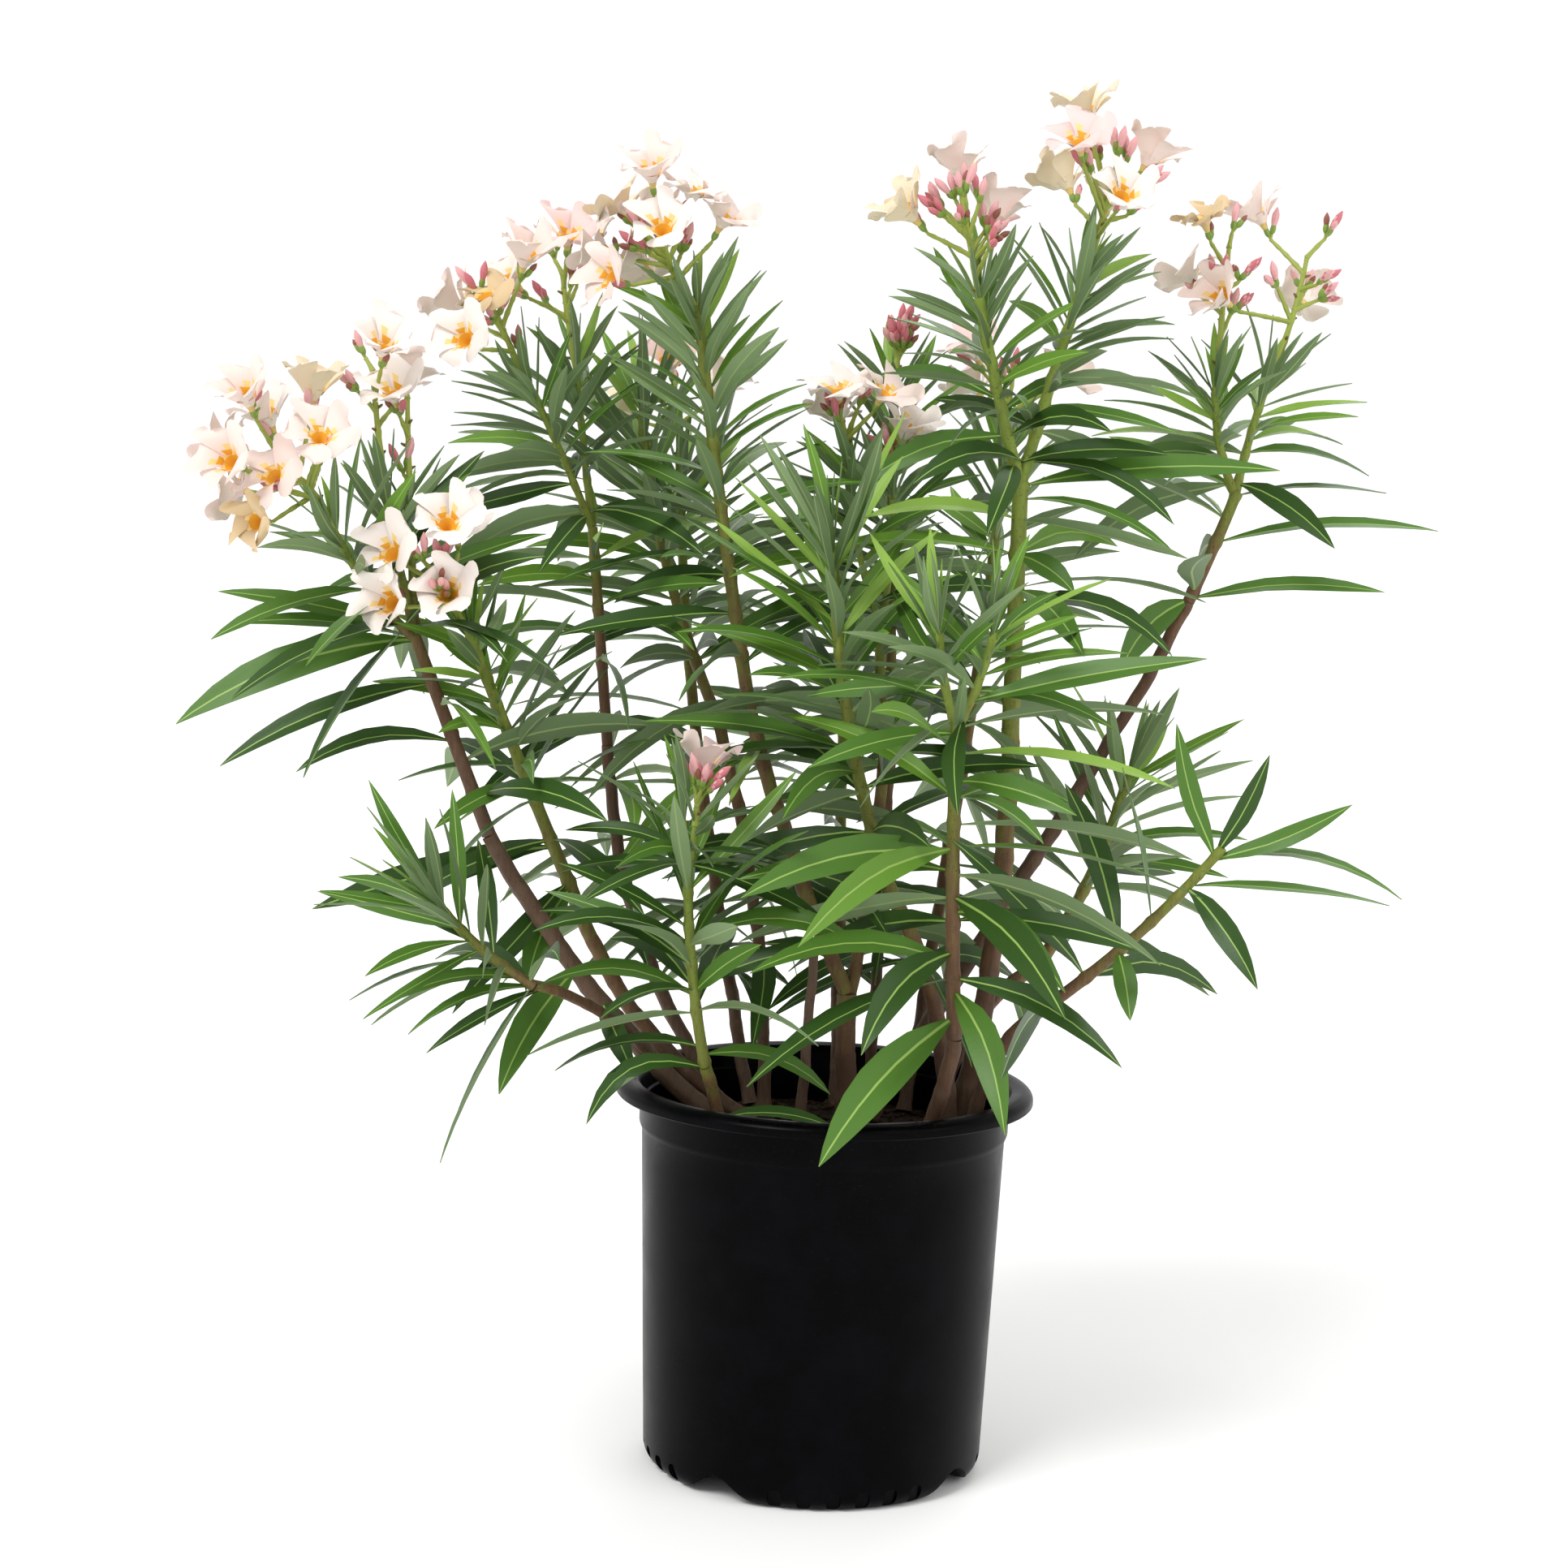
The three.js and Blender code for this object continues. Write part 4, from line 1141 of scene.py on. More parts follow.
def raise_rings(name: str, profile: Sequence[Pair], segments: int) -> Piece:
    """Models a round body by extruding a circle up its section, ring by ring.

    Args:
        name: the object's name.
        profile: radius and height of each ring in millimetres, from the underside round to
            the middle of the floor.
        segments: how many points a ring has.

    Returns:
        The closed body.
    """
    deselect_all()
    radius, height = profile[0]
    bpy.ops.mesh.primitive_circle_add(
        vertices=segments, radius=radius * MM, fill_type="NOTHING", location=(0, 0, height * MM)
    )
    piece = bpy.context.active_object
    piece.name = name
    bpy.ops.object.transform_apply(location=True, rotation=True, scale=True)
    bpy.ops.object.mode_set(mode="EDIT")
    bpy.ops.mesh.select_all(action="SELECT")
    for next_radius, next_height in profile[1:]:
        bpy.ops.mesh.extrude_region_move(
            TRANSFORM_OT_translate={"value": (0, 0, (next_height - height) * MM)}
        )
        scale = next_radius / radius
        bpy.ops.transform.resize(value=(scale, scale, 1), center_override=(0, 0, 0))
        radius, height = next_radius, next_height
    bpy.ops.mesh.edge_face_add()
    bpy.ops.mesh.select_all(action="DESELECT")
    bpy.ops.mesh.select_non_manifold()
    bpy.ops.mesh.edge_face_add()
    bpy.ops.object.mode_set(mode="OBJECT")
    return piece


@dataclass
class Pot:
    """The moulded nursery pot: wide flat lip, collar, tapering body, feet with drain notches."""

    height: float = 261.0
    rim_radius: float = 140.0
    rim_middle: float = 131.5
    rim_reach: float = 8.5
    rim_crown: float = 6.0
    skirt_foot: float = 251.5
    skirt_inside: float = 137.4
    lip_under: float = 257.0
    collar_radius: float = 124.0
    collar_foot: float = 232.0
    body_top: Pair = (122.0, 227.0)
    body_steps: int = 12
    foot_radius: float = 114.5
    foot_round: float = 12.0
    base: tuple[Pair, ...] = ((30.0, 19.0), (80.0, 19.0), (85.0, 17.0), (89.0, 0.0), (97.0, 0.0))
    inside: tuple[Pair, ...] = (
        (128.4, 260.6), (125.6, 259.8), (123.8, 257.8), (122.9, 254.6), (121.3, 249.5),
        (120.9, 247.2), (119.3, 246.1), (118.9, 244.6), (118.5, 227.0), (109.9, 29.0),
        (107.5, 25.0), (101.5, 22.0),
    )
    segments: int = 180
    notch_angles: tuple[float, ...] = (57, 147, 237, 327)
    notch_half: float = 31.0
    notch_height: float = 16.5
    # Where the cutting blocks start and end, from the foot's outside.
    notch_reach: Pair = (-32.0, 16.0)
    # Each row of slots has its middle this far round from a notch, and its slots about there.
    slot_turn: float = 46.0
    slot_angles: tuple[float, ...] = (-24.5, -14.7, -4.9, 4.9, 14.7, 24.5)
    slot_size: Pair = (9.2, 12.6)
    slot_middle: float = 7.6
    slot_reach: Pair = (-1.1, 6.0)

    def section(self) -> list[Pair]:
        """The wall's section, from the underside round the lip to the floor inside.

        Returns:
            The radius and height of each ring.
        """
        middle, size = self.foot_radius - self.foot_round, self.foot_round
        turns = [math.radians(-90 + 90 * i / 8) for i in range(9)]
        foot = [(middle + size * math.cos(a), size + size * math.sin(a)) for a in turns]
        shares = [i / self.body_steps for i in range(1, self.body_steps + 1)]
        body = [
            (mix(self.foot_radius, self.body_top[0], t), mix(size, self.body_top[1], t))
            for t in shares
        ]
        wall, under, skirt = self.collar_radius, self.lip_under, self.skirt_inside
        collar = [
            (wall - 1.1, self.collar_foot - 3.4), (wall - 0.3, self.collar_foot - 1.2),
            (wall, self.collar_foot), (wall, under - 1.5), (wall + 0.5, under - 0.5),
            (wall + 1.5, under), (skirt - 1.0, under), (skirt, under - 1.0),
            (skirt, self.skirt_foot + 0.6), (skirt + 0.6, self.skirt_foot),
            (self.rim_radius - 0.7, self.skirt_foot), (self.rim_radius, self.skirt_foot + 0.8),
        ]
        rim = [
            (self.rim_middle + self.rim_reach * math.cos(turn),
             self.height - self.rim_crown * (1 - math.sin(turn)))
            for turn in (math.radians(11.25 * i) for i in range(9))
        ]
        return [*self.base, *foot, *body, *collar, *rim, *self.inside]

    def block(
        self, angle: float, across: np.ndarray, height: np.ndarray, reach: Pair, bag: MeshBag,
        lean: np.ndarray | float = 0.0,
    ) -> None:
        """Adds a block that cuts into the foot from outside.

        Args:
            angle: where it is, in degrees about +Z.
            across: how far to the side each point of its outline is.
            height: how high each point is.
            reach: where it starts and ends, from the foot's outside.
            bag: takes the block.
            lean: how much nearer the axis each point starts.
        """
        way = math.radians(angle)
        out = np.array((math.cos(way), math.sin(way), 0.0))
        side = np.array((-math.sin(way), math.cos(way), 0.0))
        flat = across[:, None] * side + height[:, None] * np.array((0.0, 0.0, 1.0))
        near = out * (self.foot_radius + reach[0]) - np.reshape(lean, (-1, 1)) * out
        bag.loft(np.stack([flat + near, flat + out * (self.foot_radius + reach[1])]))

    def notch_blocks(self) -> MeshBag:
        """The bell-shaped blocks that cut the drain notches.

        Returns:
            The bag that holds them.
        """
        bag = MeshBag("notch_blocks")
        share = np.linspace(-1, 1, 25)
        bell = self.notch_height * (0.5 + 0.5 * np.cos(share * math.pi)) ** 0.8
        across = np.append(share, (1.0, -1.0)) * self.notch_half
        height = np.append(bell, (-3.0, -3.0))
        for angle in self.notch_angles:
            self.block(angle, across, height, self.notch_reach, bag)
        return bag

    def slot_blocks(self) -> MeshBag:
        """The rounded blocks that press shallow slots into the foot's outside.

        Returns:
            The bag that holds them.
        """
        bag = MeshBag("slot_blocks")
        turns = np.linspace(0, math.tau, 20, endpoint=False)
        wide, tall = (np.sign(w) * np.abs(w) ** 0.6 for w in (np.cos(turns), np.sin(turns)))
        across = wide * self.slot_size[0] / 2
        height = self.slot_middle + tall * self.slot_size[1] / 2
        # The foot curves in below, so each block leans with it.
        lean = np.clip((self.foot_round - height) / self.foot_round, 0, 1) ** 2 * 7.0
        for angle in self.notch_angles:
            for turn in self.slot_angles:
                self.block(angle + self.slot_turn + turn, across, height, self.slot_reach, bag, lean)
        return bag

    def build(self) -> None:
        """Models, cuts and dresses the pot."""
        piece = raise_rings("nursery_pot", self.section(), self.segments)
        smooth(piece, 35)
        for bag in (self.slot_blocks(), self.notch_blocks()):
            cutter = bag.finish(30)
            take_up(piece)
            modifier = piece.modifiers.new("Boolean", "BOOLEAN")
            modifier.operation = "DIFFERENCE"
            modifier.object = cutter
            bpy.ops.object.modifier_apply(modifier=modifier.name)
            bpy.data.objects.remove(cutter, do_unlink=True)
        piece.data.materials.clear()
        piece.data.materials.append(MouldedPolythene().material())
        shade(piece, 32)
        settle(piece, ["pot"])


@dataclass
class PottingSoil:
    """The potting mix: an uneven mound of crumbs, with loose chips of bark on it."""

    edge: float = 117.6
    top: float = SOIL_TOP
    rings: int = 16
    chips: int = 520
    chip_size: Pair = (3.0, 11.0)
    seed: int = 91

    def height(self, x: float, y: float) -> float:
        """The mound's height at a place.

        Args:
            x: millimetres along +X.
            y: millimetres along +Y.

        Returns:
            The height in millimetres.
        """
        bumps = math.sin(x * 0.11 + 1.3) * math.cos(y * 0.09 - 0.4) + math.sin(x * 0.05 - y * 0.07)
        crumbs = math.sin(x * 0.43 + y * 0.21) * math.sin(y * 0.39 - x * 0.17 + 2.0)
        far = math.hypot(x, y) / self.edge
        return self.top + 0.3 + 1.3 * bumps + 0.8 * crumbs - 4.0 * far ** 6

    def mound(self) -> Piece:
        """Models the body of the potting mix.

        Returns:
            The closed body.
        """
        profile = [(20.0, 22.5), (101.0, 22.5), (109.0, 30.0), (self.edge, 219.0)]
        profile += [
            (self.edge * (1 - i / (self.rings + 1)), self.top) for i in range(self.rings + 1)
        ]
        piece = raise_rings("potting_mix", profile, 96)
        for vertex in piece.data.vertices:
            if vertex.co.z > 220 * MM:
                vertex.co.z = self.height(vertex.co.x / MM, vertex.co.y / MM) * MM
        return piece

    def chip(self, i: int) -> np.ndarray:
        """One loose chip or crumb on the mound.

        Args:
            i: its number.

        Returns:
            Its rings.
        """
        keys = (self.seed, i)
        draw = [chance(*keys, k) for k in range(16)]
        far = (self.edge - 7.0) * math.sqrt(draw[1])
        x, y = far * math.cos(math.tau * draw[2]), far * math.sin(math.tau * draw[2])
        size = mix(*self.chip_size, draw[3] ** 2)
        direction = Vector((jitter(1, *keys, 4), jitter(1, *keys, 5), jitter(0.35, *keys, 6)))
        direction.normalize()
        across, beside = turned_frame(direction)
        middle = Vector((x, y, self.height(x, y) + 0.6))
        rings = []
        for along, wide in ((-0.5, 0.25), (-0.2, 0.48), (0.25, 0.42), (0.5, 0.2)):
            ring = []
            for k in range(6):
                turn = math.tau * k / 6
                rough = size * wide * (0.75 + 0.5 * draw[10 + k])
                ring.append(
                    middle + direction * (along * size)
                    + across * (math.cos(turn) * rough * 0.7)
                    + beside * (math.sin(turn) * rough * 0.45)
                )
            rings.append(ring)
        return np.array(rings)

    def build(self) -> None:
        """Models and dresses the mound and its chips."""
        piece = self.mound()
        piece.data.materials.append(PottingMix().material())
        smooth(piece, 60)
        settle(piece, ["soil"])
        bark = PottingMix("pine_bark_chips", "#1f140d", "#3c281c", "#6b523a")
        bag = MeshBag("bark_chips", [bark.material()])
        for i in range(self.chips):
            bag.loft(self.chip(i))
        settle(bag.finish(30))


# ---------------------------------------------------------------- stems

# How far back a cane's foot stands for it to count as one of the back row.
BACK_ROW = 50.0


def wrap(angles: np.ndarray) -> np.ndarray:
    """Brings angles in radians about three equally spaced directions to their nearest one."""
    third = math.tau / 3
    return (angles + third / 2) % third - third / 2


@dataclass
class Canes:
    """The woody canes and boughs, and the stems of the heads, with their rings and scars."""

    plant: Plant
    cane_sides: int = 20
    cane_step: float = 3.2
    stem_sides: int = 12
    stem_step: float = 3.0
    node_gap: float = 27.0
    flare: float = 0.34
    flare_reach: float = 12.0
    # What a foot's radius is multiplied by, for a cane in front and for one in the back row.
    girth: Pair = (0.86, 0.7)

    def wood(self, limb: Limb) -> Pair:
        """How woody a limb is at its foot and tip.

        Args:
            limb: the limb.

        Returns:
            Two numbers, from 0 for green to 1 for brown.
        """
        foot = 1.0
        for parent in self.plant.limbs:
            if parent.name == limb.parent:
                foot = mix(*self.wood(parent), limb.along)
        return foot, TIP_WOOD.get(limb.name, USUAL_TIP_WOOD)

    def radius(self, limb: Limb, t: float) -> float:
        """A limb's own radius, with its root flare if it stands on the soil.

        Args:
            limb: the limb.
            t: the share of its length.

        Returns:
            The radius in millimetres.
        """
        # The canes at the back are younger, and so thinner at the foot.
        girth = self.girth[limb.foot is not None and limb.foot[1] > BACK_ROW]
        radius = mix(girth, 1.0, t) * mix(*limb.radius, t)
        if limb.foot:
            radius *= 1 + self.flare * math.exp(-t * limb.bend.length / self.flare_reach)
        return radius

    def add_limb(self, limb: Limb, key: int, bag: MeshBag) -> None:
        """Adds one woody limb.

        Args:
            limb: the limb.
            key: a whole number that names it.
            bag: takes the mesh.
        """
        run, wood = self.plant.runs[limb.name], self.wood(limb)
        steps = max(8, round(run.length / self.cane_step))
        angles = ring_angles(self.cane_sides)
        rings, woods = [], []
        for i in range(steps + 1):
            t = i / steps
            along = t * run.length
            radius = self.radius(limb, t)
            node = round((along - jitter(5, key, 1)) / self.node_gap)
            off = along - (node * self.node_gap + jitter(4, key, node, 2))
            ring = 0.07 * swell(off, 2.6) - 0.03 * swell(off - 5.0, 3.0)
            turn = math.radians(60 * (node % 2) + jitter(12, key, node, 3))
            # Three old leaf scars stand on each node, as shallow shields under the ring.
            scars = np.maximum(0.0, np.cos(3 * (angles - turn))) ** 4
            relief = 0.06 * scars * swell(off + 2.2, 2.4)
            fissures = (
                0.25 * np.sin(5 * angles + 2.2 * math.sin(along * 0.045 + key) + key)
                + 0.18 * np.sin(8 * angles - along * 0.03 + 2 * key)
            )
            lobes = np.zeros_like(angles)
            if limb.foot:
                lobes = 0.09 * np.sin(3 * angles + key) * math.exp(-along / 20.0)
            radii = radius * (1 + ring + relief + lobes) + fissures * min(1.0, radius / 8)
            station = run.at(t)
            wobble = Vector((
                math.sin(along * 0.07 + key) + 0.5 * math.sin(along * 0.21 + 2 * key),
                math.cos(along * 0.06 + 3 * key) + 0.5 * math.sin(along * 0.17 + key),
                0.0,
            )) * (0.55 * min(1.0, t * 12, (1 - t) * 12))
            rings.append(round_ring(replace(station, point=station.point + wobble), radii))
            woods.append(mix(*wood, t) + 0.1 * swell(off, 3.0) - 0.03)
        bag.loft(np.array(rings), 0, woods)

    def add_stem(self, grown: GrownShoot, bag: MeshBag) -> None:
        """Adds one leafy stem, swollen a little under each whorl of leaves.

        Args:
            grown: the stem in place.
            bag: takes the mesh.
        """
        run = grown.run
        steps = max(8, round(run.length / self.stem_step))
        angles = ring_angles(self.stem_sides)
        whorls = whorl_places(run, grown.shoot.leafing)
        rings, woods = [], []
        for i in range(steps + 1):
            t = i / steps
            cushion = np.zeros_like(angles)
            for node, place in enumerate(whorls):
                off = (t - place) * run.length
                if abs(off) < 9:
                    turn = math.radians(90 - grown.phase - 60 * node)
                    lobes = np.maximum(0.0, np.cos(1.5 * wrap(angles - turn))) ** 2
                    cushion += 0.22 * (0.3 + lobes) * swell(off, 3.2)
            flutes = 0.05 * np.sin(3 * angles + 0.01 * t * run.length + grown.seed)
            radii = mix(*grown.radius, t) * (1 + flutes * 0.7 + cushion)
            rings.append(round_ring(run.at(t), radii))
            woods.append(mix(*grown.wood, t))
        bag.loft(np.array(rings), 0, woods)

    def build(self) -> None:
        """Models and dresses every limb and every stem."""
        bark = Bark().material()
        canes, stems = MeshBag("woody_canes", [bark]), MeshBag("green_stems", [bark])
        for i, limb in enumerate(self.plant.limbs):
            self.add_limb(limb, i + 1, canes)
        settle(canes.finish(50), [limb.name for limb in self.plant.limbs])
        for grown in self.plant.shoots:
            self.add_stem(grown, stems)
        settle(stems.finish(50), [head.name for head in self.plant.heads])


# ---------------------------------------------------------------- leaves


class LeafAgeAndShade(Enum):
    """How old a leaf is, with its tone; the darker tones also paint shade on low leaves."""

    YOUNG = "#87ab46"
    FRESH = "#5f882a"
    MATURE = "#497024"
    DEEP = "#2d4c17"


# The other leaf skins' numbers, after those of the four tones of age and painted shade.
PALE_UNDER, PALER_UNDER, RIB, RIB_UNDER = range(4, 8)

# Share of the length and share of the half-width, from the stalk to the drawn-out point.
LEAF_OUTLINE: tuple[Pair, ...] = (
    (0.0, 0.11), (0.05, 0.16), (0.13, 0.42), (0.25, 0.77), (0.40, 0.97),
    (0.54, 1.0), (0.68, 0.87), (0.81, 0.62), (0.92, 0.31), (1.0, 0.02),
)
# A leaf as a plain strip, for finding where leaves would cross: the same two shares.
STRIP_OUTLINE: tuple[Pair, ...] = (
    (0.14, 0.45), (0.32, 0.9), (0.5, 1.0), (0.68, 0.82), (0.84, 0.5), (0.99, 0.04),
)
# The turn about the stem and the tilt, in degrees, that a leaf tries before it is left out.
TRIES = ((0, 0), (13, 0), (-13, 0), (0, 13), (0, -13), (24, 8), (-24, 8))

# Numbers that stand for a limb and for a flower, where stems have their own from 0.
LIMB_NUMBER, BLOOM_NUMBER = -2, -1
# First keys of the leaves between whorls, on canes, with an aim of their own, and at stem tips.
BETWEEN_KEY, CANE_KEY, OWN_KEY, TIP_KEY = 7000, 7500, 8000, 9000

# A leaf that may grow, with the number of its stem and the stem.
Candidate = tuple[int, Arc, Blade]
# A place that leaves keep off, with the number of its stem and the room that it needs.
Guard = tuple[Vector, int, float]


def own_blade(run: Arc, leaf: OwnLeaf, number: int) -> Blade:
    """Lays out a leaf that has an aim of its own, its face turned up and to the front.

    Args:
        run: the stem.
        leaf: its place and shape.
        number: its number in the list.

    Returns:
        The leaf.
    """
    heading, lean, tilt = (math.radians(a) for a in (leaf.heading, leaf.lean, leaf.tilt))
    direction = level(heading) * math.sin(lean) + UP * math.cos(lean)
    wanted = UP * math.cos(tilt) + SUNWARD * math.sin(tilt)
    face = (wanted - direction * wanted.dot(direction)).normalized()
    root = run.at(leaf.along).point - direction * LEAF_SUNK
    width = leaf.length * leaf.broad
    return Blade(root, direction, face, leaf.length, width, leaf.sag, (OWN_KEY + number, 0, 0), 0.35)


def guards(run: Arc, radius: Pair, step: float, number: int) -> list[Guard]:
    """Places down a stem, a step apart, that leaves keep off.

    Args:
        run: the stem.
        radius: its radius at foot and tip.
        step: millimetres between the places.
        number: the stem's number.

    Returns:
        The places, from the foot.
    """
    shares = [i / int(run.length / step) for i in range(int(run.length / step) + 1)]
    return [(run.at(t).point, number, mix(*radius, t) + 1.0) for t in shares]


@dataclass
class Foliage:
    """Every leaf: leathery, lance-shaped, creased along a pale midrib, in whorls of three."""

    plant: Plant
    thickness: float = 0.55
    rib_width: float = 0.028
    crease: Pair = (8.0, 24.0)
    twist: float = 26.0
    sickle: float = 0.045
    wave: float = 0.1
    extra_turn: float = 30.0
    crowded: float = 0.35
    least_gap: float = 13.0
    # The share of leaves dropped by stems whose leaves are long, and by the others low down.
    dropped: Pair = (0.72, 0.18)
    long_leaf: float = 150.0
    short: float = 0.36
    # Leaves whose tips end nearer the pot's axis and lower than this hang over its lip.
    trimmed: Pair = (270.0, 285.0)
    bloom_room: float = 15.0
    # On sparse heads a leaf gives way to one with its own aim that is this near, and points the
    # same way by more than this cosine.
    beside: Pair = (50.0, 0.55)
    sparse: tuple[str, ...] = ("head_left", "head_low_right", "head_far_right")
    tip_leafing: Leafing = Leafing(0.9, (3, 3), (80, 52), (34, 10), (0.05, 0.0))
    cane_leafing: Leafing = Leafing(0.42, (46, 38), (118, 128), (98, 84), (0.9, 0.7))
    leafy_canes: tuple[str, ...] = (
        "cane_inner_left", "cane_inner_back", "cane_back_left", "cane_tall_left",
        "cane_back_right", "cane_back_low_right", "bough_centre", "cane_inner_right",
    )
    # Where the left and the right piece start, along +X.
    split: Pair = (-60.0, 60.0)
    kept: list[Blade] = field(default_factory=list)

    def tip_blades(self, grown: GrownShoot) -> list[Blade]:
        """Young upright leaves crowded round a stem's tip."""
        places, seed = enumerate((0.95, 0.995)), grown.seed + TIP_KEY
        return grow_whorls(grown.run, self.tip_leafing, places, seed, grown.phase + 17)

    def between_blades(self, grown: GrownShoot) -> list[Blade]:
        """Leaves of whorls half way between the solids' whorls, where those stand far apart.

        Args:
            grown: the stem.

        Returns:
            The leaves.
        """
        leafing = grown.shoot.leafing
        whorls = whorl_places(grown.run, leafing)
        places = [
            (node, (low + high) / 2) for node, (low, high) in enumerate(zip(whorls, whorls[1:]))
            if (high - low) * grown.run.length >= self.least_gap and (low + high) / 2 >= self.crowded
        ]
        phase = grown.phase + self.extra_turn
        return grow_whorls(grown.run, leafing, places, grown.seed + BETWEEN_KEY, phase)

    def own_blades(self) -> Iterator[Candidate]:
        """The leaves that have an aim of their own.

        Yields:
            The stem's number, the stem and the leaf.
        """
        stems: dict[str, tuple[int, Arc]] = {}
        for number, grown in enumerate(self.plant.shoots):
            forks = sum(name.startswith(f"{grown.head}/") for name in stems)
            name = f"{grown.head}/{forks}" if grown.head in stems else grown.head
            stems[name] = (number, grown.run)
        limbs = {name: (LIMB_NUMBER, run) for name, run in self.plant.runs.items()}
        for name, (number, run) in stems.items():
            for i, leaf in enumerate(OWN_LEAVES):
                if leaf.stem == name:
                    yield number, run, own_blade(run, leaf, i)
        for i, leaf in enumerate(OWN_LEAVES):
            if leaf.stem in limbs:
                number, run = limbs[leaf.stem]
                yield number, run, own_blade(run, leaf, i)

    def lasting_blades(self, grown: GrownShoot) -> list[Blade]:
        """The solids' leaves, but for those that have dropped, as most do where leaves are long.

        Args:
            grown: the stem.

        Returns:
            The leaves.
        """
        is_long = max(grown.shoot.leafing.leaf) >= self.long_leaf
        share = self.dropped[0] if is_long else self.dropped[1]
        return [
            blade for blade in grown.blades
            if chance(*blade.keys, 27) >= share or not (is_long or blade.climb < 0.5)
        ]

    def under_flowers(self, grown: GrownShoot, blade: Blade) -> Blade:
        """A leaf as it is on a stem that ends in flowers: shorter towards the stem's tip.

        Args:
            grown: the stem.
            blade: the leaf.

        Returns:
            The leaf, shorter if its stem carries flowers.
        """
        if not grown.stalk:
            return blade
        share = 1 - self.short * max(0.0, blade.climb)
        return replace(blade, length=blade.length * share, width=blade.width * share ** 0.5)

    def candidates(self) -> Iterator[Candidate]:
        """Every leaf that may grow: those with their own aim first, then the solids' leaves.

        Yields:
            The stem's number, the stem and the leaf.
        """
        yield from self.own_blades()
        for make in (self.lasting_blades, self.tip_blades, self.between_blades):
            for number, grown in enumerate(self.plant.shoots):
                for blade in make(grown):
                    yield number, grown.run, self.under_flowers(grown, blade)
        for i, name in enumerate(self.leafy_canes):
            run = self.plant.runs[name]
            places = enumerate(whorl_places(run, self.cane_leafing))
            for blade in grow_whorls(run, self.cane_leafing, places, CANE_KEY + i, 20 * i):
                yield LIMB_NUMBER, run, blade

    def keep_off(self) -> list[Guard]:
        """Places down every stem, stalk and flower that leaves keep clear of.

        Returns:
            The places.
        """
        found: list[Guard] = []
        for number, grown in enumerate(self.plant.shoots):
            found += guards(grown.run, grown.radius, 5.0, number)
            if grown.stalk:
                found += [(grown.stalk.at(i / 8).point, number, 3.0) for i in range(9)]
            for site in grown.sites:
                if site.is_flower:
                    middle = site.root + site.direction * 16
                    found.append((middle, BLOOM_NUMBER, self.bloom_room))
                else:
                    found.append((site.root, BLOOM_NUMBER, 6.0))
        for limb in self.plant.limbs:
            found += guards(self.plant.runs[limb.name], limb.radius, 6.0, LIMB_NUMBER)
        return found

    def hangs_over_pot(self, blade: Blade) -> bool:
        """Whether a leaf hangs over the pot's lip, where only those with their own aim do.

        Args:
            blade: the leaf.

        Returns:
            True if it does.
        """
        tip = blade.midrib(1.0)
        low = math.hypot(tip.x, tip.y) < self.trimmed[0] and tip.z < self.trimmed[1]
        return low and blade.keys[0] < OWN_KEY

    def gives_way(self, own: int, blade: Blade, aimed: Sequence[tuple[int, Blade]]) -> bool:
        """Whether a leaf of a sparse head crowds one that has its own aim.

        Args:
            own: its stem's number.
            blade: the leaf.
            aimed: the stem's number and the leaf for each leaf with its own aim.

        Returns:
            True if it does.
        """
        if own < 0 or self.plant.shoots[own].head not in self.sparse:
            return False
        return any(
            number == own and (blade.root - leaf.root).length < self.beside[0]
            and blade.direction.dot(leaf.direction) > self.beside[1]
            for number, leaf in aimed
        )

    @staticmethod
    def clear_of_stems(blade: Blade, own: int, tree: KDTree, places: Sequence[Guard]) -> bool:
        """Whether a leaf keeps off every stem, flower and bud but its own stem.

        Args:
            blade: the leaf.
            own: its own stem's number.
            tree: finds the places near a point.
            places: the places to keep off.

        Returns:
            True if it does.
        """
        for t in (0.18, 0.3, 0.42, 0.54, 0.66, 0.78, 0.9, 1.0):
            half = blade.width / 2 * (0.8 if t < 0.8 else 0.3)
            for _, index, distance in tree.find_range(blade.midrib(t), 24.0):
                _, number, room = places[index]
                reach = room + half * (0.8 if number == BLOOM_NUMBER else 0.55)
                if distance < reach and not (number == own and t < 0.45):
                    return False
        return True

    @staticmethod
    def strip(blade: Blade) -> BVHTree:
        """A leaf as a plain strip, for finding where leaves would cross.

        Args:
            blade: the leaf.

        Returns:
            The strip.
        """
        points, faces = [], []
        across = blade.face.cross(blade.direction).normalized()
        for i, (t, wide) in enumerate(STRIP_OUTLINE):
            half = blade.width / 2 * wide
            point = blade.midrib(t)
            points += [point - across * half, point + across * half]
            if i:
                faces.append((2 * i - 2, 2 * i - 1, 2 * i + 1, 2 * i))
        return BVHTree.FromPolygons(points, faces)

    @staticmethod
    def cells_of(blade: Blade) -> set[Keys]:
        """The 40 mm cells that a leaf passes through, or passes within 12 mm of.

        Args:
            blade: the leaf.

        Returns:
            The cells.
        """
        spots = [
            [number + 12 * way * (k == axis) for k, number in enumerate(blade.midrib(i / 8))]
            for i in range(9) for axis in range(3) for way in (-1, 0, 1)
        ]
        return {tuple(int(number // 40) for number in spot) for spot in spots}

